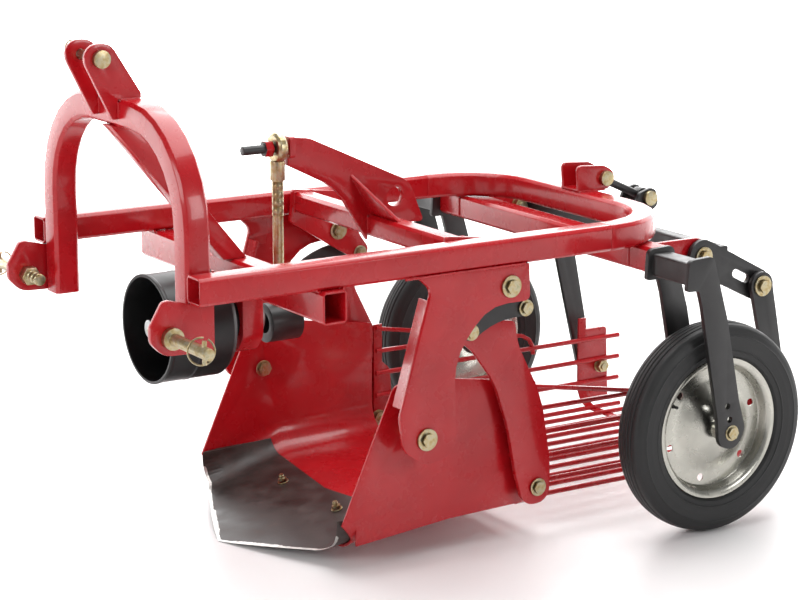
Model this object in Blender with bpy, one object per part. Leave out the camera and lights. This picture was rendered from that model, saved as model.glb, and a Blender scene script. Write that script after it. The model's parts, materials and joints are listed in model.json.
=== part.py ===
"""Tractor-mounted potato digger: hitch and frame, a shaken share and trough, a sieve and two land wheels.

+Z is up, the machine travels towards -Y and its left side is at +X. Sizes are in metres. Places along Y are
counted from the front face of the frame; one empty then puts the whole machine over the origin.
"""

import math

import bmesh
import bpy
from mathutils import Matrix, Vector

for old in list(bpy.data.objects):
    bpy.data.objects.remove(old, do_unlink=True)

# ---- Fits -------------------------------------------------------------------------------------------------
GAP = 0.0003            # between faces that touch
PIN_FIT = 0.0006        # round a pin that turns
RUN = 0.006             # between plates that move past each other

# ---- Square-tube frame ------------------------------------------------------------------------------------
TUBE = 0.050
TUBE_WALL = 0.004
TUBE_CORNER = 0.006
BEND = 0.165            # bend radius of a tube's centre line
FRAME_INNER = 0.297     # half distance between the rails
RAIL_TOP = 0.6076
RAIL_LENGTH = 0.885
PLATE = 0.010           # heavy bracket plate

# ---- Three-point hitch ------------------------------------------------------------------------------------
ARCH_FOOT = 0.467
ARCH_TOP = 0.881
ARCH_BEND = 0.182
MAST_PIN = (-0.033, 0.957)
MAST_PIN_RADIUS = 0.0095
MAST_LUG_GAP = 0.070
MAST_LUG_ROUND = 0.027
LOWER_PIN = (-0.038, 0.5017)
LOWER_PIN_RADIUS = 0.011
LOWER_PIN_REACH = 0.450
LOWER_PIN_STUD = 0.060
LOWER_COLLAR_RADIUS = 0.020
LOWER_COLLAR = 0.012
BRACE_WIDTH = 0.040
BRACE_DEPTH = 0.038

# ---- Cross members ----------------------------------------------------------------------------------------
CROSSBAR_FRONT = 0.238
CROSSBAR_HEIGHT = 0.060
CROSSBAR_OVERHANG = 0.012
CROSSBEAM_FRONT = 0.965

# ---- Drive from the tractor -------------------------------------------------------------------------------
SHAFT_HEIGHT = 0.440
SHAFT_RADIUS = 0.0175
SHAFT_FRONT = 0.072
THROW = 0.020
CRANK_RADIUS = 0.040
CRANK_WIDTH = 0.012
CRANK_PIN_RADIUS = 0.010
CRANK_PIN = 0.010
GUARD_RADIUS = 0.104
GUARD_FRONT = 0.068
GUARD_LENGTH = 0.140
GUARD_WALL = 0.004
GUARD_NECK_RADIUS = 0.047
HANGER_PLATE_HALF = 0.058

# ---- Rocker: tube, lever and two end plates ---------------------------------------------------------------
PIVOT = (0.651, 0.518)
PIVOT_RADIUS = 0.010
ROCKER_TUBE = 0.042
ROCKER_FRONT = 0.548
ROCKER_INNER = 0.280
ROCKER_PLATE = 0.010
LINK_PIN = (0.704, 0.465)
LINK_PIN_RADIUS = 0.008
LEVER_PLATE = 0.012
LEVER_EYE = (0.351, 0.757)
STUD_RADIUS = 0.009
STUD_FRONT = 0.275
EYE_RADIUS = 0.029
EYE_WIDTH = 0.020
ROD_RADIUS = 0.0105
BIG_END_RADIUS = 0.038
BIG_END_WIDTH = 0.067
BIG_END_BORE = 0.020

# ---- Link plates ------------------------------------------------------------------------------------------
LINK_PLATE = 0.008
TROUGH_PIN = (0.581, 0.433)
LINK_WIDTH = 0.034

# ---- Struts, trough and share -----------------------------------------------------------------------------
STRUT_PLATE = 0.010
STRUT_FLANGE = 0.030
HINGE = (0.465, 0.250)
HINGE_RADIUS = 0.010
WASHER_RADIUS = 0.021
TROUGH_HALF = 0.280
TROUGH_WALL = 0.005
TROUGH_CORNER = 0.065
TROUGH_FRONT = 0.352
TROUGH_BEND = 0.500
TROUGH_REAR = 0.730
ARM_INNER = 0.295
ARM_PLATE = 0.010
SIEVE_PIN = (0.747, 0.101)
SIEVE_PIN_RADIUS = 0.009
SHARE_TIP = 0.210
SHARE_WING = 0.318
SHARE_WING_START = 0.245
SHARE_BACK = 0.450
SHARE_THICKNESS = 0.008
SHARE_SLOPE = 0.283
TROUGH_SLOPE = 0.030

# ---- Sieve and its hangers --------------------------------------------------------------------------------
BAR_RADIUS = 0.005
SIEVE_HALF = 0.282
SIEVE_FLOOR = 0.049
SIEVE_CORNER = 0.050
SIEVE_RIM = 0.297
SIEVE_FRONT = 0.655
SIEVE_REAR = 1.385
BAND_WALL = 0.004
BAND_FRONT = 0.737
BAND_REAR = 0.757
BAR_PITCH = 0.046
SIDE_BAR_HEIGHTS = (0.101, 0.150, 0.199)
BRACKET_FRONT = 1.290
BRACKET_REAR = 1.352
BRACKET_TOP = 0.222
HANGER_EYE = (1.335, 0.135)
HANGER_EYE_RADIUS = 0.008
HANGER_TOP = (1.265, 0.445)
HANGER_TOP_RADIUS = 0.010
HANGER_WIDTH = 0.040
HANGER_INNER = 0.336
HANGER_PLATE = 0.010

# ---- Depth frame behind the rear bow ----------------------------------------------------------------------
DEPTH_PIVOT = (1.125, 0.517)
DEPTH_PIVOT_RADIUS = 0.010
DEPTH_BRACKET_INNER = 0.306
DEPTH_ARM_INNER = 0.320
REAR_PIN = (1.107, 0.631)
REAR_PIN_RADIUS = 0.0095
REAR_LUG_GAP = 0.044
ADJUST_PIN = (1.222, 0.578)

# ---- Land wheels ------------------------------------------------------------------------------------------
WHEEL_X = 0.4386
WHEEL_Y = 1.063
WHEEL_RADIUS = 0.2086
TYRE_HALF = 0.037
TYRE_BORE = 0.140
AXLE_RADIUS = 0.008
HUB_RADIUS = 0.021
HUB_HALF = 0.050
FORK_HALF = 0.056
FORK_PLATE = 0.010
FORK_FOOT_ROUND = 0.029

# ---- Whole machine ----------------------------------------------------------------------------------------
FRONT_MOST = -0.077
CENTRE_Y = (FRONT_MOST + SIEVE_REAR) / 2
RAIL_BOTTOM = RAIL_TOP - TUBE
RAIL_OUTER = FRAME_INNER + TUBE
SIDES = (("left", 1), ("right", -1))


# ---- Shape helpers ----------------------------------------------------------------------------------------
def rounded(*corners, step=math.radians(20)):
    """Closed outline through corners (u, v), or (u, v, radius) where the corner is round."""
    outline = []
    for index, corner in enumerate(corners):
        here = Vector(corner[:2])
        if len(corner) == 2:
            outline.append(here)
            continue
        before = (Vector(corners[index - 1][:2]) - here).normalized()
        after = (Vector(corners[(index + 1) % len(corners)][:2]) - here).normalized()
        half = before.angle(after) / 2
        centre = here + (before + after).normalized() * corner[2] / math.sin(half)
        start = here + before * corner[2] / math.tan(half) - centre
        end = here + after * corner[2] / math.tan(half) - centre
        sweep = math.copysign(math.pi - 2 * half, start.cross(end))
        count = max(1, math.ceil(abs(sweep) / step))
        for k in range(count + 1):
            outline.append(centre + Matrix.Rotation(sweep * k / count, 2) @ start)
    return outline


def circle(centre, radius, sides=16):
    """Outline of a round, with its first corner on the u axis."""
    turns = [2 * math.pi * k / sides for k in range(sides)]
    return [Vector((centre[0] + radius * math.cos(a), centre[1] + radius * math.sin(a))) for a in turns]


def arc(centre, radius, start, end, count):
    """Points on an arc between two angles in degrees."""
    turns = [math.radians(start + (end - start) * k / count) for k in range(count + 1)]
    return [Vector((centre[0] + radius * math.cos(a), centre[1] + radius * math.sin(a))) for a in turns]


def place(axis, point, along):
    """Point of an outline drawn across the axis, at a distance along it."""
    u, v = point
    return {"X": (along, u, v), "Y": (u, along, v), "Z": (u, v, along)}[axis]


def solid(points, faces):
    """Object from points and faces, its faces pointing out."""
    mesh = bpy.data.meshes.new("shape")
    mesh.from_pydata([tuple(point) for point in points], [], faces)
    work = bmesh.new()
    work.from_mesh(mesh)
    bmesh.ops.recalc_face_normals(work, faces=work.faces)
    work.to_mesh(mesh)
    work.free()
    piece = bpy.data.objects.new("shape", mesh)
    bpy.context.collection.objects.link(piece)
    return piece


def prism(axis, outline, low, high):
    """Plate or bar: an outline across the axis, from low to high along it."""
    count = len(outline)
    points = [place(axis, point, along) for along in (low, high) for point in outline]
    faces = [tuple(range(count)), tuple(range(count, 2 * count))]
    faces += [(k, (k + 1) % count, count + (k + 1) % count, count + k) for k in range(count)]
    return solid(points, faces)


def cylinder(axis, centre, radius, low, high, sides=16):
    return prism(axis, circle(centre, radius, sides), low, high)


def turned(axis, centre, profile, sides=32):
    """Ring or hollow body: a closed profile of (radius, along) points spun round an axis, none of them on it."""
    count = len(profile)
    points = []
    for k in range(sides):
        turn = 2 * math.pi * k / sides
        for radius, along in profile:
            across = (centre[0] + radius * math.cos(turn), centre[1] + radius * math.sin(turn))
            points.append(place(axis, across, along))
    faces = []
    for k in range(sides):
        here, there = k * count, (k + 1) % sides * count
        for i in range(count):
            j = (i + 1) % count
            faces.append((here + i, here + j, there + j, there + i))
    return solid(points, faces)


def combine(operation, target, *tools):
    """Boolean of the target with each tool in turn; the tools are used up."""
    for tool in tools:
        modifier = target.modifiers.new(operation.title(), "BOOLEAN")
        modifier.operation = operation
        modifier.solver = "EXACT"
        modifier.object = tool
        bpy.context.view_layer.update()
        result = bpy.data.meshes.new_from_object(target.evaluated_get(bpy.context.evaluated_depsgraph_get()))
        target.modifiers.clear()
        target.data = result
        bpy.data.objects.remove(tool, do_unlink=True)
    return target


def weld(target, *tools):
    return combine("UNION", target, *tools)


def cut(target, *tools):
    return combine("DIFFERENCE", target, *tools)


def drill(target, axis, centre, radius, low, high, sides=12):
    """Round hole through the target."""
    return cut(target, cylinder(axis, centre, radius, low, high, sides))


def tube_section(width, height, wall, corner):
    """Outer and inner outlines of a rectangular tube, point for point."""
    outer_x, outer_y = width / 2, height / 2
    inner_x, inner_y = outer_x - wall, outer_y - wall
    inner_corner = max(corner - wall, 0.002)
    signs = ((1, 1), (-1, 1), (-1, -1), (1, -1))
    outer = rounded(*[(sx * outer_x, sy * outer_y, corner) for sx, sy in signs], step=math.radians(90))
    inner = rounded(*[(sx * inner_x, sy * inner_y, inner_corner) for sx, sy in signs], step=math.radians(90))
    return outer, inner


def swept_tube(path, side, width=TUBE, height=TUBE, wall=TUBE_WALL, corner=TUBE_CORNER):
    """Open-ended rectangular tube along a path of points; side is the direction square to the path's plane."""
    outer, inner = tube_section(width, height, wall, corner)
    count = len(outer)
    side = Vector(side)
    path = [Vector(point) for point in path]
    points, faces = [], []
    for index, here in enumerate(path):
        back = (here - path[index - 1]).normalized() if index else None
        ahead = (path[index + 1] - here).normalized() if index + 1 < len(path) else None
        tangent = (back + ahead).normalized() if back and ahead else back or ahead
        lateral = tangent.cross(side)
        stretch = 1 / max(0.5, tangent.dot(back or ahead))
        for ring in (outer, inner):
            points += [here + lateral * u * stretch + side * v for u, v in ring]
    step = 2 * count
    for index in range(len(path) - 1):
        base = index * step
        for k in range(count):
            j = (k + 1) % count
            faces.append((base + k, base + j, base + step + j, base + step + k))
            faces.append((base + count + k, base + step + count + k, base + step + count + j, base + count + j))
    for base in (0, (len(path) - 1) * step):
        for k in range(count):
            j = (k + 1) % count
            faces.append((base + k, base + count + k, base + count + j, base + j))
    return solid(points, faces)


def bolt(axis, centre, radius, low, high, head=0.0065, washer=None, nut=None):
    """Bolt along an axis: shank, hexagon head and washer at the high end, nut at the low end."""
    piece = cylinder(axis, centre, radius, low, high + 0.001, 12)
    weld(piece, cylinder(axis, centre, 1.85 * radius, high, high + head, 6))
    if washer:
        weld(piece, cylinder(axis, centre, washer, high - 0.004, high + 0.0005))
    if nut:
        weld(piece, cylinder(axis, centre, 1.8 * radius, low + nut[0], low + nut[1], 6))
    return piece


def mirrored(piece):
    """The same piece on the machine's other side."""
    for vertex in piece.data.vertices:
        vertex.co.x = -vertex.co.x
    piece.data.flip_normals()
    return piece


# ---- Materials --------------------------------------------------------------------------------------------
def paint(name, colour, roughness, metallic=0.0):
    material = bpy.data.materials.new(name)
    material.use_nodes = True
    shader = material.node_tree.nodes["Principled BSDF"]
    shader.inputs["Base Color"].default_value = (*colour, 1.0)
    shader.inputs["Roughness"].default_value = roughness
    shader.inputs["Metallic"].default_value = metallic
    return material


FINISHES = {
    "red": ((0.42, 0.018, 0.022), 0.28, 0.0),
    "black": ((0.022, 0.021, 0.022), 0.42, 0.0),
    "zinc": ((0.62, 0.57, 0.42), 0.35, 1.0),
    "silver": ((0.72, 0.73, 0.70), 0.30, 1.0),
    "rubber": ((0.018, 0.017, 0.016), 0.75, 0.0),
    "plastic": ((0.015, 0.016, 0.017), 0.55, 0.0),
    "steel": ((0.060, 0.048, 0.045), 0.45, 0.6),
}

# ---- Bodies: an empty on each joint's axis ----------------------------------------------------------------
bodies = {}


def body(name, origin=(0.0, 0.0, 0.0), parent=None):
    """Empty that carries the pieces of one moving body."""
    empty = bpy.data.objects.new(name + "_axis", None)
    bpy.context.collection.objects.link(empty)
    base = bodies[parent][1] if parent else Vector((0.0, CENTRE_Y, 0.0))
    empty.location = Vector(origin) - base
    if parent:
        empty.parent = bodies[parent][0]
    bodies[name] = (empty, Vector(origin))


def add(name, piece, finish, owner="frame"):
    """Name a piece, give it its own material and hang it on its body."""
    empty, origin = bodies[owner]
    piece.data.transform(Matrix.Translation(-origin))
    piece.name = piece.data.name = name
    piece.parent = empty
    piece.data.materials.clear()
    piece.data.materials.append(paint(name + "_finish", *FINISHES[finish]))
    piece.data.shade_smooth()
    piece.data.set_sharp_from_angle(angle=math.radians(30))
    return piece


def add_pair(stem, make, finish, owner="frame"):
    """A left and a right piece; owner may hold {side}."""
    for side, sign in SIDES:
        piece = make()
        if sign < 0:
            mirrored(piece)
        add(f"{stem}_{side}", piece, finish, owner.format(side=side))


# ---- Frame ------------------------------------------------------------------------------------------------
def bent_path(half, foot, top, bend, point):
    """Path of a tube bent to a U: up one side, across the top and down the other; point places (u, v)."""
    left = [Vector((-half, foot))] + arc((-half + bend, top - bend), bend, 180, 90, 7)
    right = arc((half - bend, top - bend), bend, 90, 0, 7) + [Vector((half, foot))]
    return [point(u, v) for u, v in left + right]


def build_frame():
    middle = TUBE / 2
    rail_z = RAIL_TOP - middle
    for side, sign in SIDES:
        x = sign * (FRAME_INNER + GAP + middle)
        add(f"{side}_rail", swept_tube([(x, 0, rail_z), (x, RAIL_LENGTH, rail_z)], (0, 0, 1)), "red")
    bow_rear = RAIL_LENGTH + 0.012 + BEND
    bow = bent_path(FRAME_INNER + GAP + middle, RAIL_LENGTH + GAP, bow_rear, BEND, lambda u, v: (u, v, rail_z))
    add("rear_bow", swept_tube(bow, (0, 0, 1)), "red")

    cross_z = RAIL_BOTTOM - GAP - CROSSBAR_HEIGHT / 2
    cross_y = CROSSBAR_FRONT + middle
    reach = RAIL_OUTER + CROSSBAR_OVERHANG
    bar = swept_tube([(-reach, cross_y, cross_z), (reach, cross_y, cross_z)], (0, 0, 1), height=CROSSBAR_HEIGHT)
    add("front_crossbar", bar, "red")

    beam_z = RAIL_BOTTOM - GAP - middle
    beam_y = CROSSBEAM_FRONT + middle
    reach = WHEEL_X - FORK_HALF - FORK_PLATE - GAP
    add("rear_crossbeam", swept_tube([(-reach, beam_y, beam_z), (reach, beam_y, beam_z)], (0, 0, 1)), "red")


def strut():
    """Side plate under a rail: carries the rocker's pivot and the trough's hinge."""
    top = RAIL_BOTTOM - GAP
    outer = RAIL_OUTER
    inner = outer - STRUT_PLATE
    outline = rounded(
        (0.447, top), (0.476, 0.530, 0.020), (0.408, 0.297, 0.030), (0.416, 0.232, 0.030), (0.462, 0.200, 0.035),
        (0.532, 0.210, 0.040), (0.526, 0.395, 0.120), (0.600, 0.486, 0.090), (0.696, 0.486, 0.012), (0.693, top),
    )
    plate = prism("X", outline, inner, outer)
    lean = Vector((0.476 - 0.412, 0.530 - 0.310)).normalized()
    across = Vector((lean.y, -lean.x))
    low, high = Vector((0.4145, 0.312)), Vector((0.4720, 0.510))
    strip = [low, low + across * 0.007, high + across * 0.007, high]
    weld(plate, prism("X", strip, inner - STRUT_FLANGE, inner + 0.002))
    drill(plate, "X", HINGE, HINGE_RADIUS + GAP, inner - 0.1, outer + 0.1)
    drill(plate, "X", PIVOT, PIVOT_RADIUS + GAP, inner - 0.1, outer + 0.1)
    return plate


def pivot_bolt():
    """Shoulder bolt on which the rocker's arm turns, with a spacer between strut and arm."""
    inner = RAIL_OUTER - STRUT_PLATE
    low = ROCKER_INNER - 0.024
    outer = ROCKER_INNER + ROCKER_PLATE
    piece = bolt("X", PIVOT, PIVOT_RADIUS, low, RAIL_OUTER + 0.0045, washer=WASHER_RADIUS, nut=(0.006, 0.017))
    return weld(piece, cylinder("X", PIVOT, 0.016, outer + 0.001, inner - GAP))


def hinge_bolt():
    """Bolt on which the trough's wall turns, with a spacer between strut and wall."""
    inner = RAIL_OUTER - STRUT_PLATE
    low = TROUGH_HALF - TROUGH_WALL - 0.022
    piece = bolt("X", HINGE, HINGE_RADIUS, low, RAIL_OUTER + 0.0045, washer=WASHER_RADIUS, nut=(0.006, 0.016))
    return weld(piece, cylinder("X", HINGE, 0.016, TROUGH_HALF + 0.001, inner - GAP))


# ---- Hitch ------------------------------------------------------------------------------------------------
def build_hitch():
    middle = TUBE / 2
    arch = bent_path(FRAME_INNER - middle, ARCH_FOOT, ARCH_TOP - middle, ARCH_BEND, lambda u, v: (u, middle, v))
    add("hitch_arch", swept_tube(arch, (0, 1, 0)), "red")

    lug_top = ARCH_TOP + GAP
    pin_y, pin_z = MAST_PIN
    lug = rounded(
        (-GAP, 0.846), (-GAP, lug_top), (0.046, lug_top), (0.046, 0.891, 0.004),
        (pin_y + 0.021, pin_z + 0.026, 0.026), (pin_y - 0.027, pin_z + 0.028, 0.026),
        (-0.064, 0.952, 0.030), (-0.012, 0.846),
    )

    def mast_lug():
        plate = prism("X", lug, MAST_LUG_GAP / 2, MAST_LUG_GAP / 2 + PLATE)
        return drill(plate, "X", MAST_PIN, MAST_PIN_RADIUS + GAP, 0, 0.1)

    add_pair("mast_lug", mast_lug, "red")
    reach = MAST_LUG_GAP / 2 + PLATE
    pin = cylinder("X", MAST_PIN, MAST_PIN_RADIUS, -reach - 0.022, reach + 0.006, 12)
    add("mast_pin", weld(pin, cylinder("X", MAST_PIN, 0.0165, reach + GAP, reach + 0.010)), "zinc")

    slope = (ARCH_TOP - TUBE - RAIL_BOTTOM) / 0.226
    rise = BRACE_DEPTH * math.hypot(1, slope)
    low_y = 0.222
    foot = RAIL_BOTTOM + GAP
    head = ARCH_TOP - TUBE - GAP
    top_y = low_y - (head - foot) / slope
    outline = [(top_y, head), (top_y + rise / slope, head), (low_y + rise / slope, foot), (low_y, foot)]
    outline = [Vector(point) for point in outline]
    add("mast_brace", prism("X", outline, -BRACE_WIDTH / 2, BRACE_WIDTH / 2), "red")

    def lower_bracket():
        face = FRAME_INNER + GAP
        plate = prism("X", rounded(
            (0.047, RAIL_BOTTOM - GAP), (0.047, ARCH_FOOT, 0.004), (-0.052, ARCH_FOOT + 0.003, 0.036),
            (FRONT_MOST, 0.496, 0.020), (FRONT_MOST, 0.524, 0.012), (-0.052, 0.566, 0.008), (-0.040, 0.568, 0.004),
            (-0.002, RAIL_BOTTOM - GAP),
        ), face, face + PLATE + 0.002)
        return drill(plate, "X", LOWER_PIN, LOWER_PIN_RADIUS + GAP, 0.2, 0.4)

    add_pair("lower_bracket", lower_bracket, "red")

    def lower_pin():
        inner = FRAME_INNER - LOWER_PIN_STUD
        outer = FRAME_INNER + GAP + PLATE + 0.002
        pin = cylinder("X", LOWER_PIN, LOWER_PIN_RADIUS, inner, LOWER_PIN_REACH, 12)
        collar = cylinder("X", LOWER_PIN, LOWER_COLLAR_RADIUS, outer + GAP, outer + LOWER_COLLAR)
        nut = cylinder("X", LOWER_PIN, LOWER_COLLAR_RADIUS - 0.001, FRAME_INNER - 0.020, FRAME_INNER - GAP, 6)
        weld(pin, collar, nut)
        return drill(pin, "Z", (LOWER_PIN_REACH - 0.018, LOWER_PIN[0]), 0.0045, 0.4, 0.6, 12)

    add_pair("lower_pin", lower_pin, "zinc")


# ---- Drive ------------------------------------------------------------------------------------------------
SHAFT = (0.0, SHAFT_HEIGHT)
HANGER_FRONT = CROSSBAR_FRONT + 0.002
HANGER_REAR = CROSSBAR_FRONT + TUBE - 0.004
CRANK_FRONT = HANGER_REAR + 0.002
BIG_END_FRONT = CRANK_FRONT + CRANK_WIDTH + CRANK_PIN + 0.010
BIG_END = (0.0, SHAFT_HEIGHT - THROW)


def build_drive():
    top = RAIL_BOTTOM - GAP - CROSSBAR_HEIGHT - GAP
    half = HANGER_PLATE_HALF
    hanger = prism("Y", rounded(
        (half, top), (half, SHAFT_HEIGHT - 0.030, 0.030), (0.030, SHAFT_HEIGHT - 0.062, 0.020),
        (-0.030, SHAFT_HEIGHT - 0.062, 0.020), (-half, SHAFT_HEIGHT - 0.030, 0.030), (-half, top),
    ), HANGER_FRONT, HANGER_REAR)
    bore = SHAFT_RADIUS + 0.004
    drill(hanger, "Y", SHAFT, bore, 0, 1, 24)
    add("pto_hanger", hanger, "red")

    neck_front = GUARD_FRONT + GUARD_LENGTH
    profile = [
        (GUARD_RADIUS, GUARD_FRONT), (GUARD_RADIUS, neck_front), (GUARD_NECK_RADIUS, neck_front),
        (GUARD_NECK_RADIUS, HANGER_FRONT - GAP), (SHAFT_RADIUS + 0.008, HANGER_FRONT - GAP),
        (SHAFT_RADIUS + 0.008, neck_front - GUARD_WALL), (GUARD_RADIUS - GUARD_WALL, neck_front - GUARD_WALL),
        (GUARD_RADIUS - GUARD_WALL, GUARD_FRONT),
    ]
    add("pto_guard", turned("Y", SHAFT, profile), "plastic")

    body("drive_shaft", (0, HANGER_FRONT, SHAFT_HEIGHT), "frame")
    shaft = cylinder("Y", SHAFT, SHAFT_RADIUS, SHAFT_FRONT, CRANK_FRONT + 0.001)
    crank = cylinder("Y", SHAFT, CRANK_RADIUS, CRANK_FRONT, CRANK_FRONT + CRANK_WIDTH, 32)
    pin_end = CRANK_FRONT + CRANK_WIDTH + CRANK_PIN
    pin = cylinder("Y", BIG_END, CRANK_PIN_RADIUS, CRANK_FRONT + CRANK_WIDTH - 0.001, pin_end, 12)
    add("pto_shaft", weld(shaft, crank, pin), "silver", "drive_shaft")


# ---- Rocker -----------------------------------------------------------------------------------------------
def rocker_plate():
    """End plate of the rocker: from its tube past the pivot to the link's pin."""
    front = ROCKER_FRONT - 0.003
    outline = rounded(
        (front, RAIL_TOP + 0.006, 0.006), (0.662, 0.600, 0.012), (0.706, 0.500, 0.030), (0.730, 0.468, 0.016),
        (0.700, 0.444, 0.020), (0.672, 0.464, 0.020), (front - 0.006, 0.546, 0.008),
    )
    plate = prism("X", outline, ROCKER_INNER, ROCKER_INNER + ROCKER_PLATE)
    drill(plate, "X", PIVOT, PIVOT_RADIUS + PIN_FIT, 0.2, 0.4)
    return drill(plate, "X", LINK_PIN, LINK_PIN_RADIUS + GAP, 0.2, 0.4)


def link_bolt():
    """Bolt that joins the rocker's end plate and the link plate."""
    inner = ARM_INNER + ARM_PLATE + RUN
    piece = bolt("X", LINK_PIN, LINK_PIN_RADIUS, ROCKER_INNER - 0.020, inner + LINK_PLATE + 0.0045, head=0.007,
                 washer=0.014, nut=(0.004, 0.020 - GAP))
    return weld(piece, cylinder("X", LINK_PIN, 0.013, ROCKER_INNER + ROCKER_PLATE + GAP, inner - 0.001))


def build_rocker():
    body("rocker", (0, *PIVOT), "frame")
    middle = ROCKER_TUBE / 2
    y, z = ROCKER_FRONT + middle, RAIL_TOP - middle
    reach = ROCKER_INNER - GAP
    tube = swept_tube([(-reach, y, z), (reach, y, z)], (0, 0, 1), ROCKER_TUBE, ROCKER_TUBE)
    add("rocker_tube", tube, "red", "rocker")

    front, rear = ROCKER_FRONT - GAP, ROCKER_FRONT + ROCKER_TUBE + GAP
    half = LEVER_PLATE / 2
    eye_y, eye_z = LEVER_EYE
    lever = prism("X", rounded(
        (0.370, 0.776), (0.419, 0.770, 0.030), (0.645, 0.666, 0.045), (0.678, 0.583, 0.006),
        (rear, 0.585), (rear, RAIL_TOP + GAP), (front, RAIL_TOP + GAP), (front, 0.558),
        (0.478, 0.668, 0.110), (0.370, 0.722),
    ), -half, half)
    drill(lever, "X", (0.6104, 0.6382), 0.019, -0.1, 0.1, 24)
    boss = prism("Y", rounded(*[(sx * 0.016, eye_z + sz * 0.020, 0.004) for sx, sz in ((1, 1), (-1, 1), (-1, -1), (1, -1))]),
                 0.370, 0.382)
    stud = cylinder("Y", (0, eye_z), STUD_RADIUS, STUD_FRONT, 0.372, 12)
    nut = cylinder("Y", (0, eye_z), 0.0165, eye_y - EYE_WIDTH / 2 - 0.020, eye_y - EYE_WIDTH / 2 - 0.004, 6)
    weld(lever, boss, stud, nut)
    for sign in (1, -1):
        low, high = (0.559, RAIL_TOP + GAP), (0.506, 0.692)
        x = sign * (half - 0.002)
        corners = [(x, *high), (x, *low), (sign * 0.100, *low)]
        points = corners + [(cx, cy + 0.008, cz) for cx, cy, cz in corners]
        weld(lever, solid(points, [(0, 1, 2), (3, 4, 5), (0, 1, 4, 3), (1, 2, 5, 4), (2, 0, 3, 5)]))
    add("rocker_lever", lever, "red", "rocker")

    add_pair("rocker_plate", rocker_plate, "red", "rocker")
    add_pair("link_bolt", link_bolt, "zinc", "rocker")

    body("rod", (0, *LEVER_EYE), "rocker")
    eye = turned("Y", (0, eye_z), [
        (STUD_RADIUS + PIN_FIT, eye_y - EYE_WIDTH / 2), (EYE_RADIUS - 0.004, eye_y - EYE_WIDTH / 2),
        (EYE_RADIUS, eye_y - EYE_WIDTH / 4), (EYE_RADIUS, eye_y + EYE_WIDTH / 4),
        (EYE_RADIUS - 0.004, eye_y + EYE_WIDTH / 2), (STUD_RADIUS + PIN_FIT, eye_y + EYE_WIDTH / 2),
    ], 24)
    rod = cylinder("Z", (0, eye_y), ROD_RADIUS, BIG_END[1] + BIG_END_RADIUS - 0.004, eye_z - EYE_RADIUS + 0.004, 14)
    neck = cylinder("Z", (0, eye_y), 0.0145, eye_z - 0.062, eye_z - EYE_RADIUS + 0.0035, 14)
    big_end = turned("Y", BIG_END, [
        (BIG_END_BORE, BIG_END_FRONT), (BIG_END_RADIUS, BIG_END_FRONT),
        (BIG_END_RADIUS, BIG_END_FRONT + BIG_END_WIDTH), (BIG_END_BORE, BIG_END_FRONT + BIG_END_WIDTH),
    ])
    add("connecting_rod", weld(eye, neck, rod, big_end), "zinc", "rod")


def link_plate():
    """Curved plate from the rocker's pin to the pin on the trough's wall."""
    start, end = Vector(TROUGH_PIN), Vector(LINK_PIN)
    half = LINK_WIDTH / 2
    span = end - start
    rise = 0.012
    radius = (span.length / 2) ** 2 / (2 * rise) + rise / 2
    up = Vector((-span.y, span.x)).normalized()
    centre = (start + end) / 2 - up * (radius - rise)
    first = math.degrees(math.atan2(start.y - centre.y, start.x - centre.x))
    last = math.degrees(math.atan2(end.y - centre.y, end.x - centre.x))
    outline = arc(centre, radius + half, first, last, 6)
    outline += arc(end, half, last, last - 180, 8)[1:-1]
    outline += arc(centre, radius - half, last, first, 6)
    outline += arc(start, half, first + 180, first, 8)[1:-1]
    low = ARM_INNER + ARM_PLATE + RUN
    plate = prism("X", outline, low, low + LINK_PLATE)
    drill(plate, "X", LINK_PIN, LINK_PIN_RADIUS + PIN_FIT, 0.2, 0.4)
    return drill(plate, "X", TROUGH_PIN, LINK_PIN_RADIUS + 0.003, 0.2, 0.4)


# ---- Trough and share -------------------------------------------------------------------------------------
def floor_height(y):
    """Height of the trough's floor, and of the share's top, on the centre line."""
    if y <= TROUGH_BEND:
        return (y - SHARE_TIP) * SHARE_SLOPE
    return (TROUGH_BEND - SHARE_TIP) * SHARE_SLOPE + (y - TROUGH_BEND) * TROUGH_SLOPE


def channel(inset):
    """Half of the trough's cross-section, from the middle to the end of the corner, moved in by inset."""
    half, corner = TROUGH_HALF - inset, TROUGH_CORNER - inset
    bend = arc((half - corner, corner), corner, -90, 0, 12)
    return [Vector((u, v + inset)) for u, v in bend]


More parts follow.
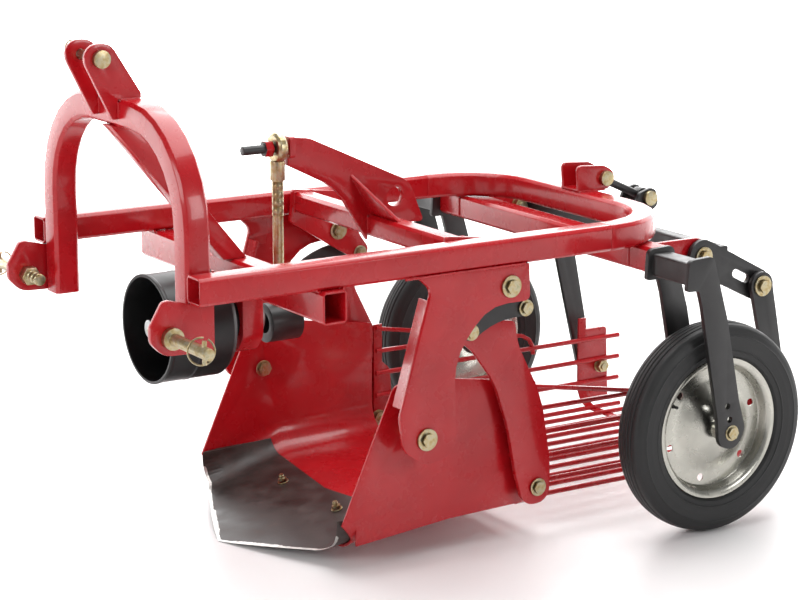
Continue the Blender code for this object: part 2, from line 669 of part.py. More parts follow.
def build_trough():
    body("trough", (0, *HINGE), "frame")
    drop = -SHARE_THICKNESS - GAP - TROUGH_WALL
    height = 0.50
    outer = channel(0.0) + [Vector((TROUGH_HALF, height))]
    inner = channel(TROUGH_WALL) + [Vector((TROUGH_HALF - TROUGH_WALL, height))]
    section = [Vector((-u, v)) for u, v in reversed(outer)] + outer
    section += list(reversed(inner)) + [Vector((-u, v)) for u, v in inner]
    count = len(section)
    stations = (SHARE_TIP, TROUGH_BEND, TROUGH_REAR + 0.05)
    points = [(u, y, v + floor_height(y) + drop) for y in stations for u, v in section]
    faces = [tuple(range(count)), tuple(range(2 * count, 3 * count))]
    for base in (0, count):
        faces += [(base + k, base + (k + 1) % count, base + count + (k + 1) % count, base + count + k)
                  for k in range(count)]
    shell = solid(points, faces)
    side = prism("X", rounded(
        (TROUGH_FRONT, -0.1), (TROUGH_FRONT, 0.052), (0.3225, 0.0865), (0.436, 0.338, 0.020), (0.474, 0.352, 0.030),
        (TROUGH_REAR, 0.311, 0.006), (TROUGH_REAR, -0.1),
    ), -0.4, 0.4)
    combine("INTERSECT", shell, side)
    skirt_top = floor_height(TROUGH_FRONT) + 0.1
    skirt = rounded((TROUGH_FRONT + 0.001, 0.043), (0.560, 0.062, 0.080), (TROUGH_REAR - 0.001, 0.066),
                    (TROUGH_REAR - 0.001, skirt_top), (TROUGH_FRONT + 0.001, skirt_top))
    for sign in (1, -1):
        low, high = sorted((sign * (TROUGH_HALF - TROUGH_WALL + 0.0005), sign * (TROUGH_HALF - 0.0005)))
        weld(shell, prism("X", skirt, low, high))
    drill(shell, "X", HINGE, HINGE_RADIUS + PIN_FIT, -0.4, 0.4)
    add("trough", shell, "red", "trough")

    def trough_arm():
        """Bent plate on the trough's wall, from the link's pin down to the sieve's pin."""
        y, z = SIEVE_PIN
        plate = prism("X", rounded(
            (0.560, 0.420, 0.012), (0.570, 0.452, 0.014), (0.610, 0.452, 0.020), (0.690, 0.438, 0.010),
            (0.700, 0.388, 0.060), (0.755, 0.280, 0.150), (0.777, 0.150, 0.150), (y + 0.030, z - 0.034, 0.030),
            (y - 0.030, z - 0.034, 0.028), (y - 0.050, z + 0.030, 0.020), (0.678, 0.228, 0.200),
            (0.645, 0.325, 0.100), (0.596, 0.390, 0.040),
        ), ARM_INNER, ARM_INNER + ARM_PLATE)
        for centre in ((0.700, 0.262), (0.708, 0.168)):
            weld(plate, cylinder("X", centre, 0.013, TROUGH_HALF + GAP, ARM_INNER + 0.001))
        drill(plate, "X", TROUGH_PIN, LINK_PIN_RADIUS + GAP, 0.2, 0.4)
        return drill(plate, "X", SIEVE_PIN, SIEVE_PIN_RADIUS + PIN_FIT, 0.2, 0.4)

    add_pair("trough_arm", trough_arm, "red", "trough")

    def trough_pin():
        """Bolt through the arm's upper end and the link plate."""
        inner = ARM_INNER + ARM_PLATE + RUN
        piece = bolt("X", TROUGH_PIN, LINK_PIN_RADIUS, ARM_INNER - 0.014, inner + LINK_PLATE + 0.0045, head=0.006,
                     washer=0.013, nut=(0.003, 0.014 - GAP))
        return weld(piece, cylinder("X", TROUGH_PIN, 0.012, ARM_INNER + ARM_PLATE + GAP, inner - 0.001))

    add_pair("trough_pin", trough_pin, "zinc", "trough")
    add("share", share(), "steel", "trough")


def share():
    """Dished blade with a pointed front edge; its wings turn up inside the trough's walls."""
    flat = TROUGH_HALF - TROUGH_CORNER
    corner = TROUGH_CORNER - TROUGH_WALL - 0.0008
    columns, rows = 16, 4
    front_wing = flat + corner * math.pi / 2 + 0.012
    back_wing = flat + corner * math.radians(62)

    def bend(reach, lift):
        """Point of the cross-section at an arc length from the middle, lifted off the floor."""
        if reach <= flat:
            return reach, lift
        turn = min(math.pi / 2, (reach - flat) / corner)
        rest = reach - flat - corner * turn
        return flat + (corner - lift) * math.sin(turn), corner - (corner - lift) * math.cos(turn) + rest

    def spread(i, wing):
        """Arc length of a column: two thirds of the columns cross the corner."""
        near = columns // 3
        if abs(i) <= near:
            return flat * abs(i) / near
        return flat + (wing - flat) * (abs(i) - near) / (columns - near)

    points = []
    for layer in (0, 1):
        for i in range(-columns, columns + 1):
            nose = SHARE_TIP + (SHARE_WING - SHARE_TIP) * min(1.0, spread(i, front_wing) / SHARE_WING_START) ** 1.1
            for j in range(rows + 1):
                along = j / rows
                reach = spread(i, front_wing + (back_wing - front_wing) * along)
                front = nose + layer * 0.004
                y = front + (SHARE_BACK + 0.025 * min(1.0, reach / flat) - front) * along
                sharp = 0.0015 if j == 0 else SHARE_THICKNESS
                u, v = bend(reach, SHARE_THICKNESS - layer * sharp)
                points.append((math.copysign(u, i), y, max(v - SHARE_THICKNESS + floor_height(y), 0.0)))
    wide, deep = 2 * columns + 1, rows + 1

    def at(layer, i, j):
        return (layer * wide + i) * deep + j

    faces = []
    for i in range(wide - 1):
        for j in range(deep - 1):
            for layer in (0, 1):
                faces.append((at(layer, i, j), at(layer, i + 1, j), at(layer, i + 1, j + 1), at(layer, i, j + 1)))
        for j in (0, deep - 1):
            faces.append((at(0, i, j), at(0, i + 1, j), at(1, i + 1, j), at(1, i, j)))
    for j in range(deep - 1):
        for i in (0, wide - 1):
            faces.append((at(0, i, j), at(0, i, j + 1), at(1, i, j + 1), at(1, i, j)))
    return solid(points, faces)


# ---- Sieve ------------------------------------------------------------------------------------------------
def bar(points, radius=BAR_RADIUS, sides=6):
    """Round bar through points, flat at both ends."""
    path = [Vector(point) for point in points]
    verts, faces = [], []
    normal = None
    for index, here in enumerate(path):
        back = (here - path[index - 1]).normalized() if index else None
        ahead = (path[index + 1] - here).normalized() if index + 1 < len(path) else None
        tangent = (back + ahead).normalized() if back and ahead else back or ahead
        if normal is None:
            normal = tangent.cross((1, 0, 0) if abs(tangent.x) < 0.8 else (0, 0, 1)).normalized()
        normal = (normal - tangent * normal.dot(tangent)).normalized()
        other = tangent.cross(normal)
        for k in range(sides):
            turn = 2 * math.pi * (k + 0.5) / sides
            verts.append(here + (normal * math.cos(turn) + other * math.sin(turn)) * radius)
    for index in range(len(path) - 1):
        base = index * sides
        faces += [(base + k, base + (k + 1) % sides, base + sides + (k + 1) % sides, base + sides + k)
                  for k in range(sides)]
    faces += [tuple(range(sides)), tuple(range((len(path) - 1) * sides, len(path) * sides))]
    return solid(verts, faces)


def sieve_section(inset):
    """Outline of the sieve's U, seen from behind, moved in by inset."""
    half, floor, corner = SIEVE_HALF - inset, SIEVE_FLOOR + inset, SIEVE_CORNER - inset
    right = arc((half - corner, floor + corner), corner, -90, 0, 5)
    return [Vector((-u, v)) for u, v in reversed(right)] + right


def build_sieve():
    body("sieve", (0, *SIEVE_PIN), "trough")
    outer = [Vector((-SIEVE_HALF, SIEVE_RIM + 0.008))] + sieve_section(0) + [Vector((SIEVE_HALF, SIEVE_RIM + 0.008))]
    inner = [Vector((SIEVE_HALF - BAND_WALL, SIEVE_RIM + 0.008))] + list(reversed(sieve_section(BAND_WALL)))
    inner += [Vector((-SIEVE_HALF + BAND_WALL, SIEVE_RIM + 0.008))]
    grate = prism("Y", outer + inner, BAND_FRONT, BAND_REAR)
    tie_y = SIEVE_REAR - 0.10
    band = 0.010
    lower = [Vector((-SIEVE_HALF, SIEVE_FLOOR + 0.20))] + sieve_section(0) + [Vector((SIEVE_HALF, SIEVE_FLOOR + 0.20))]
    under = [Vector((SIEVE_HALF - BAND_WALL, SIEVE_FLOOR + 0.20))] + list(reversed(sieve_section(BAND_WALL)))
    under += [Vector((-SIEVE_HALF + BAND_WALL, SIEVE_FLOOR + 0.20))]
    tie = prism("Y", lower + under, tie_y - band, tie_y + band)
    bars = []
    line = SIEVE_FLOOR + BAND_WALL + BAR_RADIUS * 0.4
    count = int((SIEVE_HALF - SIEVE_CORNER) / BAR_PITCH)
    for k in range(-count, count + 1):
        x = k * BAR_PITCH
        bars.append(bar([(x, SIEVE_FRONT, line), (x, SIEVE_REAR - 0.03, line)]))
    side_x = SIEVE_HALF - BAND_WALL - BAR_RADIUS * 0.4
    for sign in (1, -1):
        for height in SIDE_BAR_HEIGHTS:
            bars.append(bar([(sign * side_x, BAND_FRONT + 0.004, height), (sign * side_x, SIEVE_REAR, height)]))
        middle = BAND_FRONT + 0.004
        top_x = side_x + 0.0007
        bars.append(bar([(sign * top_x, middle, 0.297), (sign * top_x, 1.060, 0.240),
                         *[(sign * top_x, 1.105 + 0.045 * math.sin(a), 0.191 + 0.042 * math.cos(a))
                           for a in (0.3, 0.8, 1.3, 1.7)]]))
        bars.append(bar([(sign * (side_x - 0.001), middle, 0.248), (sign * (side_x - 0.001), 0.990, 0.246)]))
    weld(grate, tie, *bars)
    for sign in (1, -1):
        low, high = sorted((sign * (SIEVE_HALF - 0.003), sign * (SIEVE_HALF + 0.008)))
        plate = prism("X", rounded((BRACKET_FRONT, 0.060, 0.010), (BRACKET_REAR + 0.008, 0.052, 0.006),
                                   (BRACKET_REAR, BRACKET_TOP, 0.006), (BRACKET_FRONT, BRACKET_TOP, 0.006)), low, high)
        pin_plate = prism("X", rounded(
            (BAND_FRONT + 0.002, 0.070, 0.006), (BAND_REAR + 0.030, 0.080, 0.010), (BAND_REAR + 0.020, 0.205, 0.020),
            (BAND_FRONT + 0.002, 0.240, 0.006)), low, high)
        weld(grate, plate, pin_plate)
    for make in (sieve_pin, sieve_bolt):
        weld(grate, make(), mirrored(make()))
    add("sieve_grate", grate, "red", "sieve")


# ---- Depth frame, hangers and turnbuckle ------------------------------------------------------------------
def hanger():
    """Swinging link that carries the sieve's rear end."""
    top, eye = Vector(HANGER_TOP), Vector(HANGER_EYE)
    half = HANGER_WIDTH / 2
    angle = math.degrees(math.atan2(top.y - eye.y, top.x - eye.x))
    outline = arc(top, half + 0.008, angle + 110, angle - 110, 12) + arc(eye, half, angle - 90, angle - 270, 9)
    plate = prism("X", outline, HANGER_INNER, HANGER_INNER + HANGER_PLATE)
    drill(plate, "X", HANGER_TOP, HANGER_TOP_RADIUS + PIN_FIT, 0.2, 0.5)
    return drill(plate, "X", HANGER_EYE, HANGER_EYE_RADIUS + 0.003, 0.2, 0.5)


def depth_bolt():
    """Bolt through the rear bracket that holds the depth frame's arm."""
    return bolt("X", DEPTH_PIVOT, DEPTH_PIVOT_RADIUS, DEPTH_BRACKET_INNER - 0.018, DEPTH_ARM_INNER + PLATE + 0.004,
                head=0.008, washer=0.018, nut=(0.004, 0.018 - GAP))


def hanger_bolt():
    """Bolt at the arm's rear end on which the hanger swings."""
    outer = HANGER_INNER + HANGER_PLATE
    return bolt("X", HANGER_TOP, HANGER_TOP_RADIUS, DEPTH_ARM_INNER - 0.016, outer + 0.0045, head=0.008, washer=0.019,
                nut=(0.004, 0.016 - GAP))


def sieve_bolt():
    """Bolt through the sieve's rear bracket; the hanger hangs round it."""
    low = SIEVE_HALF - 0.024
    outer = HANGER_INNER + HANGER_PLATE
    piece = bolt("X", HANGER_EYE, HANGER_EYE_RADIUS, low, outer + 0.006, head=0.006, washer=0.015, nut=(0.004, 0.018))
    return weld(piece, cylinder("X", HANGER_EYE, 0.013, SIEVE_HALF + 0.008 + GAP, HANGER_INNER - 0.002))


def sieve_pin():
    """Bolt through the sieve's front plate; the rocker's arm drives it."""
    low = SIEVE_HALF - 0.022
    outer = ARM_INNER + ARM_PLATE
    return bolt("X", SIEVE_PIN, SIEVE_PIN_RADIUS, low, outer + 0.006, head=0.007, washer=0.017, nut=(0.004, 0.016))


def build_depth_frame():
    def bracket():
        y, z = DEPTH_PIVOT
        low = DEPTH_BRACKET_INNER
        plate = prism("X", rounded(
            (CROSSBEAM_FRONT + TUBE + GAP, RAIL_BOTTOM - GAP - 0.004), (y + 0.010, z + 0.036, 0.026),
            (y + 0.034, z - 0.020, 0.026), (y - 0.006, z - 0.034, 0.026), (CROSSBEAM_FRONT + TUBE + GAP, 0.508),
        ), low, low + PLATE)
        return drill(plate, "X", DEPTH_PIVOT, DEPTH_PIVOT_RADIUS + GAP, 0.2, 0.4)

    add_pair("rear_bracket", bracket, "red")

    pivot, top = Vector(DEPTH_PIVOT), Vector(HANGER_TOP)
    angle = math.degrees(math.atan2(top.y - pivot.y, top.x - pivot.x))
    outline = arc(pivot, 0.034, angle + 85, angle + 275, 12) + arc(top, 0.032, angle - 95, angle + 95, 12)
    frame = None
    for sign in (1, -1):
        low, high = sorted((sign * DEPTH_ARM_INNER, sign * (DEPTH_ARM_INNER + PLATE)))
        arm = prism("X", outline, low, high)
        frame = weld(frame, arm) if frame else arm
        if sign > 0:
            bar_y, bar_z = pivot.x + 0.052, pivot.y - 0.004
            cross = prism("X", rounded(
                (bar_y - 0.016, bar_z - 0.018, 0.005), (bar_y + 0.016, bar_z - 0.018, 0.005),
                (bar_y + 0.016, bar_z + 0.018, 0.005), (bar_y - 0.016, bar_z + 0.018, 0.005),
            ), -DEPTH_ARM_INNER - 0.002, DEPTH_ARM_INNER + 0.002)
            weld(frame, cross)
    along = (top - pivot).normalized()
    across = Vector((-along.y, along.x))
    for start, end, half in ((0.094, 0.124, 0.009),):
        a, b = pivot + along * start, pivot + along * end
        slot = arc(a, half, angle + 90, angle + 270, 6) + arc(b, half, angle - 90, angle + 90, 6)
        cut(frame, prism("X", slot, -0.4, 0.4))
    for sign in (1, -1):
        low, high = sorted((sign * (REAR_LUG_GAP / 2), sign * (REAR_LUG_GAP / 2 + 0.008)))
        foot = pivot + Vector((0.040, 0.006))
        lug = prism("X", rounded(
            (foot.x, foot.y), (foot.x + 0.024, foot.y), (ADJUST_PIN[0] + 0.026, ADJUST_PIN[1] - 0.016, 0.016),
            (ADJUST_PIN[0] + 0.016, ADJUST_PIN[1] + 0.024, 0.016), (ADJUST_PIN[0] - 0.024, ADJUST_PIN[1] + 0.012, 0.014),
        ), low, high)
        weld(frame, lug)
    drill(frame, "X", ADJUST_PIN, REAR_PIN_RADIUS + GAP, -0.1, 0.1)
    for make in (depth_bolt, hanger_bolt):
        weld(frame, make(), mirrored(make()))
    add("depth_frame", frame, "black")

    # the lugs on the rear bow, one plate folded to a U
    base = RAIL_TOP + GAP
    reach = REAR_LUG_GAP / 2 + 0.008
    y, z = REAR_PIN
    block = prism("X", rounded(
        (1.040, base), (y + 0.006, base), (y + 0.022, base + 0.014, 0.006), (y + 0.026, z + 0.010, 0.022), (y - 0.002, z + 0.026, 0.022),
        (1.036, 0.662, 0.010),
    ), -reach, reach)
    cut(block, prism("X", rounded((1.0, base + 0.004), (1.2, base + 0.004), (1.2, 0.8), (1.0, 0.8)),
                     -REAR_LUG_GAP / 2, REAR_LUG_GAP / 2))
    drill(block, "X", REAR_PIN, REAR_PIN_RADIUS + GAP, -0.1, 0.1)
    add("rear_lugs", block, "red")

    near, far = Vector(REAR_PIN), Vector(ADJUST_PIN)
    link = bar([(0, *near), (0, *far)], 0.0085, 12)
    for centre in (near, far):
        weld(link, cylinder("X", centre, 0.018, -0.011, 0.011),
             cylinder("X", centre, REAR_PIN_RADIUS, -reach - 0.018, reach + 0.006, 12),
             cylinder("X", centre, 0.0155, reach + GAP, reach + 0.009))
    add("turnbuckle", link, "zinc")

    for side, sign in SIDES:
        body(f"hanger_{side}", (sign * HANGER_INNER, *HANGER_TOP), "frame")
    add_pair("hanger", hanger, "black", "hanger_{side}")


# ---- Land wheels ------------------------------------------------------------------------------------------
def fork():
    """Two legs and a cross tube; three holes let the wheel be set higher or lower."""
    foot = WHEEL_RADIUS
    leg = rounded(
        (0.944, 0.500, 0.006), (0.948, 0.560, 0.012), (1.006, 0.563, 0.014), (1.019, 0.520, 0.012),
        (1.044, 0.436, 0.050), (WHEEL_Y + 0.016, 0.270, 0.050), (WHEEL_Y + 0.033, foot + 0.004, 0.022),
        (WHEEL_Y + 0.012, foot - 0.034, 0.024), (WHEEL_Y - 0.030, foot - 0.026, 0.024),
        (WHEEL_Y - 0.036, foot + 0.034, 0.030), (0.981, 0.470, 0.030), (0.972, 0.500, 0.006),
    )
    inner = prism("X", leg, WHEEL_X - FORK_HALF - FORK_PLATE, WHEEL_X - FORK_HALF)
    outer = prism("X", leg, WHEEL_X + FORK_HALF, WHEEL_X + FORK_HALF + FORK_PLATE)
    cross = prism("X", rounded((0.956, 0.508, 0.005), (1.000, 0.508, 0.005), (1.000, 0.552, 0.005),
                               (0.956, 0.552, 0.005)), WHEEL_X - FORK_HALF - 0.002, WHEEL_X + FORK_HALF + 0.002)
    weld(inner, cross, outer)
    lean = Vector((1.011 - WHEEL_Y, 0.440 - foot)).normalized()
    for step in range(3):
        hole = Vector((WHEEL_Y, foot)) + lean * 0.028 * step
        drill(inner, "X", hole, AXLE_RADIUS + GAP if step == 0 else 0.0065, 0.3, 0.6)
    return inner


def axle():
    low, high = WHEEL_X - FORK_HALF - FORK_PLATE, WHEEL_X + FORK_HALF + FORK_PLATE
    return bolt("X", (WHEEL_Y, WHEEL_RADIUS), AXLE_RADIUS, low - 0.012, high + GAP, head=0.007,
                nut=(0.002, 0.012 - GAP))


def tyre():
    half, outer = TYRE_HALF, WHEEL_RADIUS
    profile = [
        (TYRE_BORE, -half + 0.011), (TYRE_BORE + 0.008, -half + 0.004), (TYRE_BORE + 0.030, -half),
        (outer - 0.016, -half + 0.003), (outer - 0.004, -half + 0.011), (outer, -half + 0.024),
        (outer, half - 0.024), (outer - 0.004, half - 0.011), (outer - 0.016, half - 0.003),
        (TYRE_BORE + 0.030, half), (TYRE_BORE + 0.008, half - 0.004), (TYRE_BORE, half - 0.011),
    ]
    return turned("X", (WHEEL_Y, WHEEL_RADIUS), [(r, x + WHEEL_X) for r, x in profile])


def rim():
    """Pressed disc, dished from the hub out to the bead seat, with six holes."""
    wall = 0.003
    seat = TYRE_BORE - GAP
    front = [
        (AXLE_RADIUS + 0.001, HUB_HALF), (HUB_RADIUS, HUB_HALF), (HUB_RADIUS, 0.029), (0.088, 0.002), (0.122, 0.002),
        (0.124, 0.021), (0.130, 0.0265), (seat, 0.0265),
    ]
    back = [
        (seat, -0.0265), (0.130, -0.0265), (0.124, -0.021), (0.122, 0.002 - wall), (0.088, 0.002 - wall),
        (HUB_RADIUS, 0.022), (HUB_RADIUS, -HUB_HALF), (AXLE_RADIUS + 0.001, -HUB_HALF),
    ]
    disc = turned("X", (WHEEL_Y, WHEEL_RADIUS), [(r, x + WHEEL_X) for r, x in front + back])
    for k in range(6):
        turn = math.radians(60 * k + 18)
        hole = (WHEEL_Y + 0.104 * math.cos(turn), WHEEL_RADIUS + 0.104 * math.sin(turn))
        drill(disc, "X", hole, 0.0075, WHEEL_X - 0.05, WHEEL_X + 0.05, 8)
    return disc


def build_wheels():
    add_pair("wheel_fork", fork, "black")
    add_pair("axle", axle, "zinc")
    for side, sign in SIDES:
        body(f"wheel_{side}", (sign * WHEEL_X, WHEEL_Y, WHEEL_RADIUS), "frame")
    add_pair("tyre", tyre, "rubber", "wheel_{side}")
    add_pair("rim", rim, "silver", "wheel_{side}")


body("frame")
build_frame()
add_pair("strut", strut, "red")
add_pair("pivot_bolt", pivot_bolt, "zinc")
add_pair("hinge_bolt", hinge_bolt, "zinc")
build_hitch()
build_drive()
build_rocker()
build_trough()
for side_name, side_sign in SIDES:
    body(f"link_{side_name}", (side_sign * (ARM_INNER + ARM_PLATE + RUN), *LINK_PIN), "rocker")
add_pair("link_plate", link_plate, "black", "link_{side}")
build_sieve()
build_depth_frame()
build_wheels()
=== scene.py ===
# %% [markdown]
# # A shaker potato digger
# A potato digger hangs on the back of a small tractor. Its share lifts the ridge, a shaken trough and a
# sieve of bars let the soil fall through, and the potatoes roll off the rear end. The plates, tubes and
# joints are already modelled; this lesson gives them rounded edges, real fasteners and real finishes.

# %% Load the machine
import json
import math

import bmesh
import bpy
from mathutils import Matrix, Vector


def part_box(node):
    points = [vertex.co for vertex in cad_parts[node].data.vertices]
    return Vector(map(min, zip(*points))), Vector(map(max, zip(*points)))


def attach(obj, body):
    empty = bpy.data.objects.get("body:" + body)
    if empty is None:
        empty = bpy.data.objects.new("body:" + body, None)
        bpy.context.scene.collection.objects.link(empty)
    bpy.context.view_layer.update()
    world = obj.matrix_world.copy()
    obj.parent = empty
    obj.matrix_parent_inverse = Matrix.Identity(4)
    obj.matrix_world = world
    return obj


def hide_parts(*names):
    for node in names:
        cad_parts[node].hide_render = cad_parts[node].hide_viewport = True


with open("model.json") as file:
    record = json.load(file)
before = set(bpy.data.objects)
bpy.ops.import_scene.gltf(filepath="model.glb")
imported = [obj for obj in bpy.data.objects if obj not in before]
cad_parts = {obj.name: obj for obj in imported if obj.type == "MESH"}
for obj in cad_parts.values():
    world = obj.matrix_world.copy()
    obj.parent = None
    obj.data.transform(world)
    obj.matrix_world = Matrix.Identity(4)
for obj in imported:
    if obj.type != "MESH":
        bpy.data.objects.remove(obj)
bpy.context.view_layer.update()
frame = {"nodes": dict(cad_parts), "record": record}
body_of_node = {node: name for name, nodes in frame["record"]["behaviour"]["bodies"].items()
                for node in nodes}
rail_low, rail_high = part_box("left_rail")

# %% [markdown]
# Places along the machine are easiest to think of as distances behind the rails' front ends, because
# that is where a fitter would hook the tape. `at` turns such a distance and a height into a point.

# %% Places and bodies
MM = 0.001


def at(x, behind, height):
    """Point on the machine: across, behind the rails' front ends, and above the floor."""
    return Vector((x, rail_low.y + behind, height))


def finish(name, mesh, body, like, *replaced, angle=35):
    """Shows a mesh as a piece of the machine: its body, and the plain nodes that it stands for."""
    mesh.name = name
    piece = bpy.data.objects.new(name, mesh)
    bpy.context.scene.collection.objects.link(piece)
    mesh.shade_smooth()
    mesh.set_sharp_from_angle(angle=math.radians(angle))
    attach(piece, body)
    if replaced:
        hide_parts(*replaced)
    print(f"{name}: {len(mesh.polygons)} faces on {body}")
    return piece


# %% [markdown]
# ## Finishes
# Every finish starts from what the real one is. Colours are written as the hex values that a paint chart
# would give, and one function turns them to linear light. One small function adds a node, sets it up and
# links it, so that a material reads from top to bottom like a recipe.

# %% Colour and node helpers
def linear(colour):
    """An sRGB hex colour as linear RGBA."""
    parts = [int(colour[k:k + 2], 16) / 255 for k in (1, 3, 5)]
    return [c / 12.92 if c <= 0.04045 else ((c + 0.055) / 1.055) ** 2.4 for c in parts] + [1.0]


def add_node(tree, kind, inputs=None, **settings):
    """Adds a node; inputs maps a socket's name or number to a value or to another node's output."""
    node = tree.nodes.new(kind)
    for key, value in settings.items():
        setattr(node, key, value)
    for key, value in (inputs or {}).items():
        socket = node.inputs[key]
        if isinstance(value, bpy.types.NodeSocket):
            tree.links.new(value, socket)
        else:
            socket.default_value = value
    return node


def new_material(name, **values):
    """A Principled material with its uniform values set, and its node tree."""
    material = bpy.data.materials.new(name)
    material.use_nodes = True
    shader = material.node_tree.nodes["Principled BSDF"]
    for key, value in values.items():
        shader.inputs[key.replace("_", " ")].default_value = value
    return material, material.node_tree, shader


def mottle(tree, grain, detail=4.0, stretch=(1, 1, 1)):
    """Noise in the piece's own space with grains of a size in metres."""
    place = add_node(tree, "ShaderNodeTexCoord")
    turned = add_node(tree, "ShaderNodeMapping", {"Vector": place.outputs["Object"], "Scale": stretch})
    return add_node(tree, "ShaderNodeTexNoise", {"Vector": turned.outputs["Vector"], "Scale": 1 / grain,
                                                 "Detail": detail, "Roughness": 0.55})


def blend_colours(tree, factor, stops):
    """Colour ramp through hex colours at positions from 0 to 1."""
    ramp = add_node(tree, "ShaderNodeValToRGB", {"Fac": factor})
    while len(ramp.color_ramp.elements) < len(stops):
        ramp.color_ramp.elements.new(0.5)
    for element, (position, colour) in zip(ramp.color_ramp.elements, stops):
        element.position = position
        element.color = linear(colour)
    return ramp.outputs["Color"]


def spread(tree, factor, low, high):
    """Remaps noise, which stays near its middle, to a range of values."""
    return add_node(tree, "ShaderNodeMapRange", {"Value": factor, "From Min": 0.3, "From Max": 0.7,
                                                 "To Min": low, "To Max": high}).outputs["Result"]


def relief(tree, shader, height, depth, strength=1.0):
    """Bump of a depth in metres."""
    bump = add_node(tree, "ShaderNodeBump", {"Height": height, "Distance": depth, "Strength": strength})
    tree.links.new(bump.outputs["Normal"], shader.inputs["Normal"])


# %% [markdown]
# **Powder-coated red.** Powder is melted onto the steel in an oven. It flows out to a glossy skin with a
# faint orange peel, about 4 mm from crest to crest, and it is a shade darker where it lies thick. A coat
# layer gives the wet highlight that the studio light draws along each tube.

# %% Red powder coat
def red_powder_coat():
    material, tree, shader = new_material("red powder coat", Metallic=0.0, Coat_Weight=0.35,
                                          Coat_Roughness=0.05,
                                          IOR=1.40)
    cloud = mottle(tree, 0.16, 3.0).outputs["Fac"]
    colour = blend_colours(tree, cloud, [(0.30, "#A20E16"), (0.5, "#AE1019"), (0.72, "#B8141D")])
    tree.links.new(colour, shader.inputs["Base Color"])
    haze = mottle(tree, 0.05, 5.0).outputs["Fac"]
    tree.links.new(spread(tree, haze, 0.22, 0.32), shader.inputs["Roughness"])
    relief(tree, shader, mottle(tree, 4 * MM, 1.5).outputs["Fac"], 0.10 * MM, 0.35)
    return material


# %% [markdown]
# **Satin black paint** covers the depth frame, the forks and the swinging links. It is brushed or dipped,
# less glossy, and it shows fine dust as slightly greyer patches.

# %% Black finishes
def satin_black_paint():
    material, tree, shader = new_material("satin black paint", Metallic=0.0, IOR=1.5, Coat_Weight=0.15,
                                          Coat_Roughness=0.25)
    cloud = mottle(tree, 0.09, 6.0).outputs["Fac"]
    tree.links.new(blend_colours(tree, cloud, [(0.3, "#151415"), (0.7, "#222020")]),
                   shader.inputs["Base Color"])
    tree.links.new(spread(tree, mottle(tree, 0.03).outputs["Fac"], 0.36, 0.50), shader.inputs["Roughness"])
    relief(tree, shader, mottle(tree, 2.5 * MM, 2.0).outputs["Fac"], 0.10 * MM, 0.4)
    return material


def moulded_polypropylene():
    """Black plastic of the drive shaft's guard: spark-eroded mould, fine grain about 1 mm across."""
    material, tree, shader = new_material("moulded polypropylene", Metallic=0.0, IOR=1.49)
    cloud = mottle(tree, 0.07, 4.0).outputs["Fac"]
    tree.links.new(blend_colours(tree, cloud, [(0.3, "#070708"), (0.7, "#0E0E0F")]),
                   shader.inputs["Base Color"])
    tree.links.new(spread(tree, cloud, 0.34, 0.46), shader.inputs["Roughness"])
    relief(tree, shader, mottle(tree, 1.2 * MM, 2.0).outputs["Fac"], 0.08 * MM, 0.5)
    return material


def vulcanised_rubber():
    """Tyre rubber: dark grey, matt, with a slight bloom and the mould's fine texture."""
    material, tree, shader = new_material("vulcanised rubber", Metallic=0.0, IOR=1.52)
    bloom = mottle(tree, 0.05, 7.0).outputs["Fac"]
    tree.links.new(blend_colours(tree, bloom, [(0.32, "#0E0E0E"), (0.55, "#151516"), (0.75, "#1F1F1F")]),
                   shader.inputs["Base Color"])
    tree.links.new(spread(tree, bloom, 0.48, 0.62), shader.inputs["Roughness"])
    relief(tree, shader, mottle(tree, 1.5 * MM, 3.0).outputs["Fac"], 0.12 * MM, 0.5)
    return material


# %% [markdown]
# **Plated steel.** Yellow-passivated zinc is a metal with a thin straw-coloured film that shifts towards
# pink and green; bright zinc on the rims is a cold silver with soft flow marks from the pressing. Both
# are full metals, so their colour is the reflection's colour.

# %% Plated and bare steel
def yellow_zinc():
    material, tree, shader = new_material("yellow zinc plate", Metallic=1.0)
    film = mottle(tree, 9 * MM, 3.0).outputs["Fac"]
    colour = blend_colours(tree, film,
                           [(0.30, "#A08A5E"), (0.46, "#B2A27C"), (0.58, "#B8AE93"), (0.74, "#989678")])
    tree.links.new(colour, shader.inputs["Base Color"])
    tree.links.new(spread(tree, mottle(tree, 3 * MM).outputs["Fac"], 0.28, 0.42), shader.inputs["Roughness"])
    relief(tree, shader, mottle(tree, 0.8 * MM, 2.0).outputs["Fac"], 0.03 * MM, 0.4)
    return material


def bright_zinc():
    """Bright zinc on the pressed rims, with broad soft flow marks left by the press."""
    material, tree, shader = new_material("bright zinc plate", Metallic=1.0)
    flow = mottle(tree, 0.045, 4.0).outputs["Fac"]
    tree.links.new(blend_colours(tree, flow, [(0.3, "#ABAAA2"), (0.7, "#BDBBB2")]),
                   shader.inputs["Base Color"])
    tree.links.new(spread(tree, flow, 0.20, 0.33), shader.inputs["Roughness"])
    relief(tree, shader, mottle(tree, 0.03, 1.0).outputs["Fac"], 0.20 * MM, 0.12)
    return material


def turned_steel():
    """Bare shaft: fine turning marks run round it, so the noise is stretched across the axis."""
    material, tree, shader = new_material("turned steel", Metallic=1.0)
    marks = mottle(tree, 1.0, 3.0, (30, 900, 30)).outputs["Fac"]
    tree.links.new(blend_colours(tree, marks, [(0.3, "#8E8F90"), (0.7, "#B4B5B4")]),
                   shader.inputs["Base Color"])
    tree.links.new(spread(tree, marks, 0.28, 0.42), shader.inputs["Roughness"])
    relief(tree, shader, marks, 0.05 * MM, 0.3)
    return material


# %% [markdown]
# **Rolled wear plate.** The share leaves the mill with a brown-black scale. Its ground cutting edge is
# bright. The piece carries an attribute, `ground`, which is 1 at the edge and 0 in the scale, so the
# bright band follows the pointed outline and no picture is needed.

